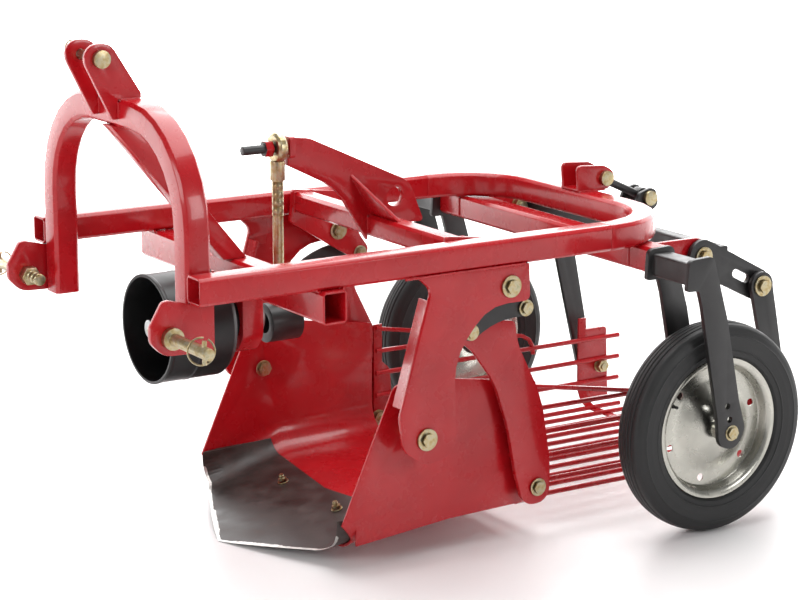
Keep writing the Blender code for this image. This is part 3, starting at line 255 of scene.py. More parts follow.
# %% Wear plate of the share
def rolled_wear_plate():
    material, tree, shader = new_material("rolled wear plate", IOR=1.5)
    ground = add_node(tree, "ShaderNodeAttribute", attribute_name="ground").outputs["Fac"]
    wobble = mottle(tree, 12 * MM, 5.0).outputs["Fac"]
    ragged = add_node(tree, "ShaderNodeMath", {0: ground, 1: spread(tree, wobble, -0.04, 0.04)},
                      operation="ADD")
    bright = add_node(tree, "ShaderNodeMapRange",
                      {"Value": ragged.outputs[0], "From Min": 0.46, "From Max": 0.56})
    scale = mottle(tree, 0.05, 7.0).outputs["Fac"]
    brown = blend_colours(tree, scale,
                          [(0.28, "#241C1A"), (0.5, "#332926"), (0.66, "#413532"), (0.8, "#55453E")])
    steel = blend_colours(tree, wobble, [(0.3, "#B7B5B2"), (0.7, "#E2E0DC")])
    colour = add_node(tree, "ShaderNodeMix", {"Factor": bright.outputs[0], 6: brown, 7: steel},
                      data_type="RGBA")
    tree.links.new(colour.outputs[2], shader.inputs["Base Color"])
    tree.links.new(bright.outputs[0], shader.inputs["Metallic"])
    tree.links.new(spread(tree, scale, 0.30, 0.52), shader.inputs["Roughness"])
    relief(tree, shader, mottle(tree, 6 * MM, 6.0).outputs["Fac"], 0.25 * MM, 0.45)
    return material


RED, BLACK, PLASTIC, RUBBER = (red_powder_coat(), satin_black_paint(), moulded_polypropylene(),
                               vulcanised_rubber())
ZINC, SILVER, STEEL, WEAR = yellow_zinc(), bright_zinc(), turned_steel(), rolled_wear_plate()
print("finishes:", ", ".join(material.name for material in bpy.data.materials if material.users))

# %% [markdown]
# ## Plates and tubes with broken edges
# No steel plate has a knife edge: shears, grinders and paint leave a radius of about a millimetre, and
# that radius is what catches the light. The nodes come as loose triangles, so a copy is merged, its flat
# faces are joined again, and only its sharp edges get a small bevel.

# %% Broken edges
EDGE_RADIUS = 1.1 * MM
SHARP = math.radians(28)


def clean_copy(node):
    """Merged copy of a node with whole flat faces."""
    work = bmesh.new()
    work.from_mesh(frame["nodes"][node].data)
    bmesh.ops.remove_doubles(work, verts=work.verts, dist=0.004 * MM)
    bmesh.ops.dissolve_limit(work, angle_limit=math.radians(0.6), verts=work.verts, edges=work.edges)
    return work


def broken_edges(work, width):
    edges = [e for e in work.edges if len(e.link_faces) == 2 and e.calc_face_angle(0) > SHARP]
    bmesh.ops.bevel(work, geom=edges, offset=width, segments=2, profile=0.6, affect="EDGES",
                    clamp_overlap=True)
    bmesh.ops.triangulate(work, faces=[f for f in work.faces if len(f.verts) > 4])


def shaved(work, axis_point, radius, plane):
    """Takes off what stands outside a plane on either side within a radius, and closes the holes."""
    gone = [v for v in work.verts if abs(v.co.x) > plane
            and math.hypot(v.co.y - axis_point.y, v.co.z - axis_point.z) < radius]
    bmesh.ops.delete(work, geom=gone, context="VERTS")
    bmesh.ops.holes_fill(work, edges=[e for e in work.edges if e.is_boundary], sides=0)
    bmesh.ops.recalc_face_normals(work, faces=work.faces)


def dressed(node, material, width=EDGE_RADIUS, heads=()):
    """Stands in for a node with the same shape, its edges broken and its finish on."""
    work = clean_copy(node)
    for axis_point, radius, plane in heads:
        shaved(work, axis_point, radius, plane)
    broken_edges(work, width)
    mesh = bpy.data.meshes.new(node)
    work.to_mesh(mesh)
    work.free()
    mesh.materials.append(material)
    return finish(f"{node}_dressed", mesh, body_of_node[node], node, node)


red_nodes = ["left_rail", "right_rail", "rear_bow", "front_crossbar", "rear_crossbeam", "strut_left",
             "strut_right",
             "hitch_arch", "mast_lug_left", "mast_lug_right", "mast_brace", "lower_bracket_left",
             "lower_bracket_right", "pto_hanger", "rear_bracket_left", "rear_bracket_right", "rear_lugs",
             "rocker_tube", "rocker_plate_left", "rocker_plate_right", "trough", "trough_arm_left",
             "trough_arm_right"]
black_nodes = ["wheel_fork_left", "wheel_fork_right", "hanger_left", "hanger_right", "link_plate_left",
               "link_plate_right"]
for node in red_nodes:
    dressed(node, RED)
for node in black_nodes:
    dressed(node, BLACK)

# %% [markdown]
# Some nodes are one solid with their bolts: the lever ends in a plain stud, and the sieve and the depth
# frame carry their pins. Their block heads are shaved off, for finer ones later, and faces that lie within
# a radius of a bolt's axis get the zinc finish.

# %% Nodes that carry their own bolts
def plated_round(mesh, material, axis, centre, radius, low, high):
    """Gives the faces round an axis (0 for x, 1 for y), between two distances, another finish."""
    if material.name not in mesh.materials:
        mesh.materials.append(material)
    index = list(mesh.materials).index(material)
    others = [k for k in range(3) if k != axis]
    for face in mesh.polygons:
        reach = math.hypot(*(face.center[k] - centre[k] for k in others))
        if reach < radius and low < face.center[axis] < high:
            face.material_index = index


def plated_pair(mesh, centre, radius, inner, outer):
    for low, high in ((inner, outer), (-outer, -inner)):
        plated_round(mesh, ZINC, 0, centre, radius, low, high)


lever = dressed("rocker_lever", RED, 0.9 * MM)
stud_axis = at(0, 0, 0.757)
plated_round(lever.data, BLACK, 1, stud_axis, 0.0125, at(0, 0.20, 0).y, at(0, 0.368, 0).y)
sieve_pin, sieve_eye = at(0, 0.747, 0.101), at(0, 1.335, 0.135)
depth_pivot, hanger_top = at(0, 1.125, 0.517), at(0, 1.265, 0.445)
rear_pin, adjust_pin = at(0, 1.107, 0.631), at(0, 1.222, 0.578)
grate = dressed("sieve_grate", RED, 0.7 * MM, [(sieve_pin, 0.020, 0.3065), (sieve_eye, 0.018, 0.3475)])
plated_pair(grate.data, sieve_eye, 0.0155, 0.2915, 0.37)
plated_pair(grate.data, sieve_pin, 0.0165, 0.25, 0.2775)
plated_pair(grate.data, sieve_eye, 0.0150, 0.25, 0.2775)
depth = dressed("depth_frame", BLACK, EDGE_RADIUS,
                [(depth_pivot, 0.022, 0.3304), (hanger_top, 0.022, 0.3463)])
plated_pair(depth.data, depth_pivot, 0.0185, 0.28, 0.3195)
plated_pair(depth.data, hanger_top, 0.0190, 0.30, 0.3195)

# %% [markdown]
# ## Turned shapes
# Tyres, rims and the guard are turned: one profile spun round an axis. A small lathe function does it
# with 96 steps, enough that the outline stays round beside the camera. The turned shaft keeps its own shape.

# %% A lathe
def lathe(profile, axis, centre, steps=96):
    """Closed profile of (radius, along) points spun round the x or y axis through the centre."""
    work = bmesh.new()
    rings = []
    for k in range(steps):
        turn = 2 * math.pi * k / steps
        c, s = math.cos(turn), math.sin(turn)
        ring = [Vector((along, r * c, r * s)) if axis == "x" else Vector((r * s, along, r * c))
                for r, along in profile]
        rings.append([work.verts.new(point + centre) for point in ring])
    for k, ring in enumerate(rings):
        following = rings[(k + 1) % steps]
        for i in range(len(profile)):
            j = (i + 1) % len(profile)
            work.faces.new((ring[i], ring[j], following[j], following[i]))
    bmesh.ops.recalc_face_normals(work, faces=work.faces)
    return work


def softened(profile, radius, steps=3):
    """Rounds every corner of a closed profile with a short curve."""
    result = []
    count = len(profile)
    for k in range(count):
        here = Vector(profile[k])
        before, after = Vector(profile[k - 1]) - here, Vector(profile[(k + 1) % count]) - here
        reach = min(radius, before.length * 0.45, after.length * 0.45)
        start, end = here + before.normalized() * reach, here + after.normalized() * reach
        for i in range(steps + 1):
            t = i / steps
            result.append(tuple(start * (1 - t) ** 2 + here * 2 * t * (1 - t) + end * t ** 2))
    return result


def to_mesh(work, *materials):
    mesh = bpy.data.meshes.new("shape")
    work.to_mesh(mesh)
    work.free()
    for material in materials:
        mesh.materials.append(material)
    return mesh


# %% [markdown]
# **Tyres.** The small implement tyre has round shoulders, a tread of plain ribs that run right round it,
# and two thin rings moulded into each wall. The ribs are in the profile, so they are real grooves.

# %% Ribbed tyres
RIBS = 5
GROOVE = 2.6 * MM
TYRE_BORE = 0.140
for side, sign in (("left", 1), ("right", -1)):
    low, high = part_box(f"tyre_{side}")
    centre = (low + high) / 2
    outer, half = (high.z - low.z) / 2, (high.x - low.x) / 2
    bore = TYRE_BORE
    wall = [(bore, half - 0.012), (bore + 0.005, half - 0.0055), (bore + 0.014, half - 0.0035),
            (bore + 0.0145, half - 0.0018), (bore + 0.0165, half - 0.0018), (bore + 0.017, half - 0.0025),
            (bore + 0.030, half - 0.0004), (outer - 0.026, half - 0.0008), (outer - 0.0255, half + 0.0000),
            (outer - 0.0235, half - 0.0004), (outer - 0.023, half - 0.0016), (outer - 0.0155, half - 0.0038),
            (outer - 0.0085, half - 0.0075), (outer - 0.0045, half - 0.0115)]
    tread_half = half - 0.0135
    pitch = 2 * tread_half / RIBS
    tread = []
    for rib in range(RIBS):
        start = tread_half - rib * pitch
        crown = [outer - 0.0035 * (abs(x) / tread_half) ** 2 for x in (start, start - pitch + GROOVE)]
        tread += [(crown[0], start - 0.0006), (crown[1], start - pitch + GROOVE)]
        if rib < RIBS - 1:
            tread += [(crown[1] - GROOVE, start - pitch + GROOVE * 0.75),
                      (crown[1] - GROOVE, start - pitch + GROOVE * 0.25)]
    profile = wall + tread + [(r, -x) for r, x in reversed(wall)]
    work = lathe(softened(profile, 0.8 * MM, 2), "x", centre)
    finish(f"tyre_ribbed_{side}", to_mesh(work, RUBBER), f"wheel_{side}", f"tyre_{side}", f"tyre_{side}",
           angle=50)

# %% [markdown]
# **Rims.** Each rim is a steel disc pressed into a cone round the hub, with a rolled bead seat, six holes
# and a valve. The disc is turned, then the holes are cut with one Boolean; the hub, its dust cap and the
# valve are turned as well.

# %% Pressed rims
SHEET = 2.6 * MM
RIM_HOLES = 6
HOLE_CIRCLE = 0.104
HOLE_RADIUS = 7.5 * MM


def tool_cylinder(axis, centre, radius, length, steps=32):
    work = bmesh.new()
    turn = Matrix.Rotation(math.radians(90), 4, "Y" if axis == "x" else "X")
    bmesh.ops.create_cone(work, segments=steps, radius1=radius, radius2=radius, depth=length, cap_ends=True,
                          matrix=Matrix.Translation(centre) @ turn)
    return work


def cut_away(mesh, cutter):
    """Exact Boolean difference of two meshes."""
    target, tool = bpy.data.objects.new("target", mesh), bpy.data.objects.new("tool", cutter)
    for piece in (target, tool):
        bpy.context.scene.collection.objects.link(piece)
    modifier = target.modifiers.new("holes", "BOOLEAN")
    modifier.operation, modifier.object, modifier.solver = "DIFFERENCE", tool, "EXACT"
    result = bpy.data.meshes.new_from_object(target.evaluated_get(bpy.context.evaluated_depsgraph_get()))
    for piece in (target, tool):
        bpy.data.objects.remove(piece)
    return result


def gathered(*works):
    """Several shapes as one."""
    whole = works[0]
    for work in works[1:]:
        mesh = bpy.data.meshes.new("shape")
        work.to_mesh(mesh)
        work.free()
        whole.from_mesh(mesh)
        bpy.data.meshes.remove(mesh)
    return whole


for side, sign in (("left", 1), ("right", -1)):
    low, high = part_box(f"rim_{side}")
    centre = (low + high) / 2
    hub_half = (high.x - low.x) / 2
    seat = (high.z - low.z) / 2
    sheet = SHEET
    face = [(0.0205, 0.0290), (0.030, 0.0275), (0.072, 0.0085), (0.086, 0.0030), (0.096, 0.0014),
            (0.1195, 0.0014),
            (0.1225, 0.0045), (0.1245, 0.0195), (0.1290, 0.0240), (0.1335, 0.0262), (seat, 0.0266)]
    back = [(seat, -0.0266), (0.1335, -0.0262), (0.1290, -0.0240), (0.1245, -0.0195),
            (0.1225, 0.0015 - sheet),
            (0.1195, 0.0014 - sheet), (0.096, 0.0014 - sheet), (0.086, 0.0030 - sheet),
            (0.072, 0.0085 - sheet),
            (0.030, 0.0275 - sheet), (0.0205, 0.0290 - sheet)]
    profile = [(r, sign * x) for r, x in face + back]
    disc = to_mesh(lathe(profile, "x", centre), SILVER)
    holes = [tool_cylinder("x", centre + Vector((0, HOLE_CIRCLE * math.cos(a), HOLE_CIRCLE * math.sin(a))),
                           HOLE_RADIUS, 0.03, 24)
             for a in (math.radians(360 / RIM_HOLES * k + 18) for k in range(RIM_HOLES))]
    disc = cut_away(disc, to_mesh(gathered(*holes)))
    hub = lathe(softened([(0.0092, hub_half), (0.0190, hub_half), (0.0208, hub_half - 0.002),
                          (0.0208, -hub_half),
                          (0.0092, -hub_half)], 0.8 * MM), "x", centre, 48)
    cap = lathe(softened([(0.0095, hub_half - 0.0005), (0.0180, hub_half - 0.0005),
                          (0.0180, hub_half + 0.0012),
                          (0.0095, hub_half + 0.0012)], 0.5 * MM), "x", centre, 48)
    finish(f"rim_pressed_{side}", disc, f"wheel_{side}", f"rim_{side}", f"rim_{side}", angle=40)
    finish(f"rim_hub_{side}", to_mesh(hub, SILVER), f"wheel_{side}", f"rim_{side}")
    finish(f"hub_seal_{side}", to_mesh(cap, PLASTIC), f"wheel_{side}", f"rim_{side}")
    stem_foot = centre + Vector((sign * 0.002, -0.112 * math.cos(0.5), 0.112 * math.sin(0.5)))
    stem = lathe(softened([(0.0006, 0), (0.0042, 0), (0.0042, sign * 0.006), (0.0030, sign * 0.008),
                           (0.0030, sign * 0.018), (0.0006, sign * 0.018)], 0.4 * MM), "x", stem_foot, 20)
    finish(f"valve_{side}", to_mesh(stem, RUBBER), f"wheel_{side}", f"rim_{side}")

# %% [markdown]
# **Guard and shaft.** The plastic guard is a drum with a rolled lip, a stiffening bead and a stepped
# neck that reaches back to the frame. The shaft inside is plain; behind the frame it carries the crank that
# shakes the machine.

# %% Guard and shaft
low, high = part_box("pto_guard")
centre = Vector((0, 0, (low.z + high.z) / 2))
radius = (high.z - low.z) / 2
front, rear, neck = low.y, high.y, low.y + 0.140
skin = 4 * MM
profile = [(radius - 0.0004, front), (radius - 0.0004, front + 0.006), (radius - 0.0015, front + 0.008),
           (radius - 0.0015, front + 0.060), (radius - 0.0005, front + 0.062),
           (radius - 0.0005, front + 0.066),
           (radius - 0.0015, front + 0.068), (radius - 0.0015, neck - 0.010), (radius - 0.008, neck),
           (0.062, neck), (0.047, neck + 0.0005), (0.047, rear), (0.026, rear), (0.026, neck - skin),
           (0.060, neck - skin),
           (radius - 0.012, neck - skin), (radius - 0.006, neck - 0.012), (radius - 0.006, front)]
guard = lathe(softened(profile, 1.2 * MM), "y", centre)
finish("guard_drum", to_mesh(guard, PLASTIC), "frame", "pto_guard", "pto_guard", angle=40)
dressed("pto_shaft", STEEL, 0.8 * MM)

# %% [markdown]
# ## The share
# The blade's plain node is dished and pointed. A copy is divided finely enough to carry the `ground`
# attribute: each point stores how close it lies to the blade's sharp front edges.

# %% Share with a ground edge
work = clean_copy("share")
broken_edges(work, 0.8 * MM)
bmesh.ops.triangulate(work, faces=work.faces)
bmesh.ops.subdivide_edges(work, edges=[e for e in work.edges if e.calc_length() > 0.012], cuts=2,
                          use_grid_fill=True)
bmesh.ops.triangulate(work, faces=work.faces)
GROUND_WIDTH = 6 * MM
BLADE_HALF = 0.262
share_low, share_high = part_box("share")


def cutting(edge):
    """Whether an edge belongs to the blade's front: it is sharp, low and near the foremost line."""
    place = (edge.verts[0].co + edge.verts[1].co) / 2
    return (len(edge.link_faces) == 2 and edge.calc_face_angle(0) > math.radians(30)
            and abs(place.x) < BLADE_HALF and place.y < share_low.y + (share_high.y - share_low.y) * 0.52)


edge_lines = [(e.verts[0].co.copy(), e.verts[1].co.copy()) for e in work.edges if cutting(e)]
for _ in range(2):
    near = [e for e in work.edges if e.calc_length() > 4 * MM and min(
        (v.co - line[0]).length for v in e.verts for line in edge_lines) < 0.030]
    bmesh.ops.subdivide_edges(work, edges=near, cuts=1, use_grid_fill=True)
    bmesh.ops.triangulate(work, faces=work.faces)


def off_line(point, line):
    start, span = line[0], line[1] - line[0]
    part = max(0.0, min(1.0, (point - start).dot(span) / max(span.length_squared, 1e-12)))
    return (point - start - span * part).length


mesh = to_mesh(work, WEAR)
ground = mesh.attributes.new("ground", "FLOAT", "POINT")
for vertex in mesh.vertices:
    reach = min(off_line(vertex.co, line) for line in edge_lines)
    ground.data[vertex.index].value = max(0.0, 1 - reach / (2 * GROUND_WIDTH))
finish("share_blade", mesh, "trough", "share", "share", angle=40)

# %% [markdown]
# ## Fasteners from one recipe
# The machine is held together by hexagon bolts of many sizes, all alike but for their proportions. That
# is work for Geometry Nodes: the recipe cuts a hexagon bar with a cone to get the chamfered head, adds a
# washer with a rounded rim and a short threaded end, and puts one on every point of a mesh. Each point
# carries its own turn, so one modifier serves bolts that face left, right and forward.

# %% The fastener recipe
def new_recipe(name, inputs):
    """Geometry Nodes tree with named inputs, its group input and its output."""
    tree = bpy.data.node_groups.new(name, "GeometryNodeTree")
    tree.interface.new_socket("Geometry", in_out="INPUT", socket_type="NodeSocketGeometry")
    for label, kind in inputs:
        tree.interface.new_socket(label, in_out="INPUT", socket_type=kind)
    tree.interface.new_socket("Geometry", in_out="OUTPUT", socket_type="NodeSocketGeometry")
    return tree, tree.nodes.new("NodeGroupInput"), tree.nodes.new("NodeGroupOutput")


def times(tree, value, factor, plus=0.0):
    return add_node(tree, "ShaderNodeMath", {0: value, 1: factor, 2: plus},
                    operation="MULTIPLY_ADD").outputs[0]


def raised(tree, geometry, height):
    """Moves geometry up by a height."""
    shift = add_node(tree, "ShaderNodeCombineXYZ", {"Z": height})
    return add_node(tree, "GeometryNodeTransform",
                    {"Geometry": geometry, "Translation": shift.outputs[0]}).outputs[0]


def smooth_and_dress(tree, output, geometry, material):
    real = add_node(tree, "GeometryNodeRealizeInstances", {"Geometry": geometry})
    dressed_up = add_node(tree, "GeometryNodeSetMaterial",
                          {"Geometry": real.outputs[0], "Material": material})
    tree.links.new(dressed_up.outputs[0], output.inputs[0])


def thread(tree, radius, pitch, length):
    """Helical ridge wound on a rod."""
    rounds = add_node(tree, "ShaderNodeMath", {0: length, 1: pitch}, operation="DIVIDE").outputs[0]
    spiral = add_node(tree, "GeometryNodeCurveSpiral",
                      {"Resolution": 20, "Rotations": rounds, "Height": length,
                                                        "Start Radius": radius, "End Radius": radius})
    ridge = add_node(tree, "GeometryNodeCurvePrimitiveCircle",
                     {"Resolution": 4, "Radius": times(tree, pitch, 0.46)})
    return add_node(tree, "GeometryNodeCurveToMesh",
                    {"Curve": spiral.outputs[0], "Profile Curve": ridge.outputs[0],
                                                      "Fill Caps": True}).outputs[0]


def fastener_recipe():
    tree, given, output = new_recipe("hexagon fasteners", [
        ("Head Radius", "NodeSocketFloat"), ("Head Height", "NodeSocketFloat"),
        ("Washer Radius", "NodeSocketFloat"), ("Washer Thickness", "NodeSocketFloat"),
        ("Stud Radius", "NodeSocketFloat"), ("Stud Length", "NodeSocketFloat"),
        ("Thread Pitch", "NodeSocketFloat"),
        ("Material", "NodeSocketMaterial")])
    get = given.outputs
    hexagon = add_node(tree, "GeometryNodeMeshCylinder", {"Vertices": 6, "Radius": get["Head Radius"],
                                                          "Depth": get["Head Height"]})
    chamfer = add_node(tree, "GeometryNodeMeshCone", {
        "Vertices": 48, "Depth": get["Head Height"], "Radius Top": times(tree, get["Head Radius"], 0.90),
        "Radius Bottom": add_node(tree, "ShaderNodeMath", {0: times(tree, get["Head Height"], 1.6),
                                                           1: times(tree, get["Head Radius"], 0.90)},
                                  operation="ADD").outputs[0]})
    head = add_node(tree, "GeometryNodeMeshBoolean", {"Mesh 2": hexagon.outputs[0]}, operation="INTERSECT",
                    solver="EXACT")
    tree.links.new(chamfer.outputs[0], head.inputs["Mesh 2"])
    half_head = times(tree, get["Head Height"], 0.5)
    on_washer = add_node(tree, "ShaderNodeMath", {0: half_head, 1: get["Washer Thickness"]}, operation="ADD")
    head_up = raised(tree, head.outputs[0], on_washer.outputs[0])

    section = add_node(tree, "GeometryNodeCurvePrimitiveQuadrilateral", {
        "Width": times(tree, get["Washer Radius"], 0.5), "Height": get["Washer Thickness"]})
    soft = add_node(tree, "GeometryNodeFilletCurve",
                    {"Curve": section.outputs[0], "Count": 3, "Radius": 0.45 * MM},
                    mode="POLY")
    loop = add_node(tree, "GeometryNodeCurvePrimitiveCircle", {"Resolution": 40,
                                                               "Radius": times(tree, get["Washer Radius"],
                                                                               0.75)})
    ring = add_node(tree, "GeometryNodeCurveToMesh",
                    {"Curve": loop.outputs[0], "Profile Curve": soft.outputs[0]})
    ring_up = raised(tree, ring.outputs[0], times(tree, get["Washer Thickness"], 0.5))

    core = add_node(tree, "GeometryNodeMeshCone", {
        "Vertices": 24, "Side Segments": 1, "Depth": get["Stud Length"],
        "Radius Top": times(tree, get["Stud Radius"], 0.86),
        "Radius Bottom": times(tree, get["Stud Radius"], 0.93)})
    top = add_node(tree, "ShaderNodeMath", {0: get["Head Height"], 1: get["Washer Thickness"]},
                   operation="ADD")
    helix = thread(tree, times(tree, get["Stud Radius"], 0.92), get["Thread Pitch"],
                   times(tree, get["Stud Length"], 0.86))
    core_up = add_node(tree, "ShaderNodeCombineXYZ", {"Z": top.outputs[0]})
    stud = add_node(tree, "GeometryNodeTransform", {"Geometry": core.outputs[0],
                                                    "Translation": core_up.outputs[0]})
    threaded_end = add_node(tree, "GeometryNodeJoinGeometry")
    for part in (stud.outputs[0], raised(tree, helix, top.outputs[0])):
        tree.links.new(part, threaded_end.inputs[0])
    wanted = add_node(tree, "ShaderNodeMath", {0: get["Stud Length"], 1: 2 * MM}, operation="GREATER_THAN")
    choice = add_node(tree, "GeometryNodeSwitch",
                      {"Switch": wanted.outputs[0], "True": threaded_end.outputs[0]},
                      input_type="GEOMETRY")
    joined = add_node(tree, "GeometryNodeJoinGeometry")
    for part in (head_up, ring_up, choice.outputs[0]):
        tree.links.new(part, joined.inputs[0])
    turn = add_node(tree, "GeometryNodeInputNamedAttribute", {"Name": "turn"}, data_type="FLOAT_VECTOR")
    rotation = add_node(tree, "FunctionNodeEulerToRotation", {0: turn.outputs["Attribute"]})
    placed = add_node(tree, "GeometryNodeInstanceOnPoints",
                      {"Points": get["Geometry"], "Instance": joined.outputs[0],
                                                             "Rotation": rotation.outputs[0]})
    smooth_and_dress(tree, output, placed.outputs[0], get["Material"])
    return tree


def run_recipe(tree, mesh, **values):
    """Runs a recipe on a mesh and returns the plain mesh that it makes."""
    holder = bpy.data.objects.new("holder", mesh)
    bpy.context.scene.collection.objects.link(holder)
    modifier = holder.modifiers.new("recipe", "NODES")
    modifier.node_group = tree
    for socket in tree.interface.items_tree:
        if socket.in_out == "INPUT" and socket.name in values:
            modifier[socket.identifier] = values[socket.name]
    holder.update_tag()
    depsgraph = bpy.context.evaluated_depsgraph_get()
    result = bpy.data.meshes.new_from_object(holder.evaluated_get(depsgraph))
    holder.modifiers.clear()
    bpy.data.objects.remove(holder)
    return result


def seats(points):
    """Mesh of points; each is (place, outward direction), with a hexagon corner along the machine."""
    mesh = bpy.data.meshes.new("seats")
    mesh.from_pydata([tuple(place) for place, outward in points], [], [])
    turn = mesh.attributes.new("turn", "FLOAT_VECTOR", "POINT")
    for index, (place, outward) in enumerate(points):
        up = Vector(outward).normalized()
        along = Vector((0, 1, 0)) if abs(up.y) < 0.9 else Vector((1, 0, 0))
        along = (along - up * along.dot(up)).normalized()
        basis = Matrix((along, up.cross(along), up)).transposed()
        turn.data[index].vector = Vector(basis.to_euler())
    return mesh


FASTENERS = fastener_recipe()

# %% [markdown]
# ## Round rods
# Bolt shanks, lynch pins and the sieve's bars are all lines swept with a circle. A line mesh lists only
# where the rods run, and the recipe gives them their thickness and flat ends.

# %% The rod recipe
def rod_recipe():
    tree, given, output = new_recipe("round rods",
                                     [("Radius", "NodeSocketFloat"), ("Material", "NodeSocketMaterial")])
    get = given.outputs
    curve = add_node(tree, "GeometryNodeMeshToCurve", {0: get["Geometry"]})
    section = add_node(tree, "GeometryNodeCurvePrimitiveCircle", {"Resolution": 14, "Radius": get["Radius"]})
    swept = add_node(tree, "GeometryNodeCurveToMesh",
                     {"Curve": curve.outputs[0], "Profile Curve": section.outputs[0],
                                                       "Fill Caps": True})
    smooth_and_dress(tree, output, swept.outputs[0], get["Material"])
    return tree


def line_mesh(paths):
    """Mesh of open lines through lists of points."""
    mesh = bpy.data.meshes.new("lines")
    points = [tuple(point) for path in paths for point in path]
    edges, base = [], 0
    for path in paths:
        edges += [(base + k, base + k + 1) for k in range(len(path) - 1)]
        base += len(path)
    mesh.from_pydata(points, edges, [])
    return mesh


RODS = rod_recipe()


def rods(paths, radius, material):
    return run_recipe(RODS, line_mesh(paths), **{"Radius": radius, "Material": material})


# %% [markdown]
# ## Bolts
# Each row below is a kind of bolt: a small hexagon head on a wide washer outside, a nut inside, and the
# shank between them. The row says where the washer's and the nut's faces lie, in millimetres from the
# machine's middle plane.

# %% Heads, nuts and shanks
def both_sides(point, outward):
    """The same seat on the left and on the right."""
    return [(Vector(point), Vector(outward)),
            (Vector((-point[0], point[1], point[2])), Vector((-outward[0], 0, 0)))]


def fastener_mesh(points, radius, head, washer, thick, stud=5.0, length=0.0):
    return run_recipe(FASTENERS, seats(points), **{
        "Head Radius": radius * MM, "Head Height": head * MM, "Washer Radius": washer * MM,
        "Washer Thickness": thick * MM, "Stud Radius": stud * MM, "Stud Length": length * MM,
        "Thread Pitch": 1.6 * MM, "Material": ZINC})


def joined_mesh(*meshes):
    """Several meshes with the zinc finish as one."""
    work = bmesh.new()
    for mesh in meshes:
        work.from_mesh(mesh)
        bpy.data.meshes.remove(mesh)
    return to_mesh(work, ZINC)


OUT, IN = (1, 0, 0), (-1, 0, 0)


def bolt_pair(name, body, like, centre, shank, head, nut, *replaced):
    """A bolt on each side. Head and nut are (face, hexagon radius, height, washer radius, thickness)."""
    heads, nuts = (fastener_mesh(both_sides((face * MM, centre.y, centre.z), way), *sizes)
                   for way, (face, *sizes) in ((OUT, head), (IN, nut)))
    ends = ((nut[0] - nut[4] - nut[2] - 2) * MM, (head[0] + head[4]) * MM)
    shanks = rods([[(sign * x, centre.y, centre.z) for x in ends] for sign in (1, -1)], shank * MM, ZINC)
    finish(name, joined_mesh(heads, nuts, shanks), body, like, *replaced, angle=32)


def centre_of(kind):
    low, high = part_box(f"{kind}_left")
    return (low + high) / 2


rows = [("pivot_bolt", "frame", 10, (347.4, 13.8, 6.5, 21.2, 4.0), (279.4, 14.0, 8.0, 19.0, 4.0)),
        ("hinge_bolt", "frame", 10, (347.4, 13.8, 6.5, 21.2, 4.0), (270.0, 14.0, 9.0, 17.0, 1.5)),
        ("link_bolt", "rocker", 8, (320.0, 11.8, 6.6, 16.0, 3.4), (279.4, 11.8, 7.0, 15.0, 2.5)),
        ("trough_pin", "trough", 8, (320.0, 11.8, 6.0, 15.5, 3.2), (294.6, 11.8, 6.0, 14.0, 2.0)),
        ("axle", "frame", 8, (504.8, 12.4, 5.6, 15.5, 1.3), (372.2, 12.4, 6.5, 15.0, 1.8))]
for kind, body, shank, head, nut in rows:
    bolt_pair(f"{kind}s", body, f"{kind}_left", centre_of(kind), shank, head, nut, f"{kind}_left",
              f"{kind}_right")

# %% [markdown]
# The pins that belong to the sieve and to the depth frame get the same heads, at the axes of their joints.
# The share is held down by two plough bolts with short threaded ends.

# %% Heads on the sieve, the depth frame and the share
bolt_pair("sieve_pins", "sieve", "sieve_grate", sieve_pin, 9, (306.8, 12.8, 6.4, 17.6, 3.4),
          (277.0, 13, 9, 17.5, 2.0))
bolt_pair("sieve_bolts", "sieve", "sieve_grate", sieve_eye, 8, (348.0, 11.8, 6.4, 16.0, 3.4),
          (277.0, 12, 9, 16.0, 2.0))
bolt_pair("depth_bolts", "frame", "depth_frame", depth_pivot, 10, (330.2, 13.8, 8.0, 20.0, 3.6),
          (305.6, 14, 8, 19.0, 2.4))
bolt_pair("hanger_bolts", "frame", "depth_frame", hanger_top, 10, (346.4, 13.8, 7.8, 21.0, 3.8),
          (319.6, 14, 8, 19.0, 2.4))
SHARE_SLOPE = 0.283
bolt_behind = 0.415
bolt_height = (bolt_behind - 0.210) * SHARE_SLOPE + 0.5 * MM
share_bolts = [(at(x, bolt_behind, bolt_height), Vector((0, -SHARE_SLOPE, 1))) for x in (0.105, -0.105)]
finish("share_bolts", fastener_mesh(share_bolts, 9.5, 6.5, 11.5, 1.6, 5.0, 9.0), "trough", "share", angle=32)

# %% [markdown]
# The hitch pins, the drive rod and the turnbuckle keep their own shape with broken edges. The drive rod's
# big end and the turnbuckle's tube are black, their pins are plated.

# %% Hitch pins, drive rod and turnbuckle
for node in ("lower_pin_left", "lower_pin_right", "mast_pin"):
    dressed(node, ZINC, 0.6 * MM)
rod = dressed("connecting_rod", ZINC, 0.7 * MM)
big_end = at(0, 0.385, 0.420)
plated_round(rod.data, BLACK, 1, big_end, 0.0395, big_end.y - 0.1, big_end.y + 0.1)
link = dressed("turnbuckle", BLACK, 0.7 * MM)
for pin in (rear_pin, adjust_pin):
    for low, high in ((-0.06, -0.0115), (0.0115, 0.06)):
        plated_round(link.data, ZINC, 0, pin, 0.0160, low, high)

# %% [markdown]
# ## Threads
# A thread is the same idea as the ridge of the recipe, on a longer rod: a spiral swept with a small
# diamond. It covers the studs of the lower hitch pins and the neck of the drive rod.

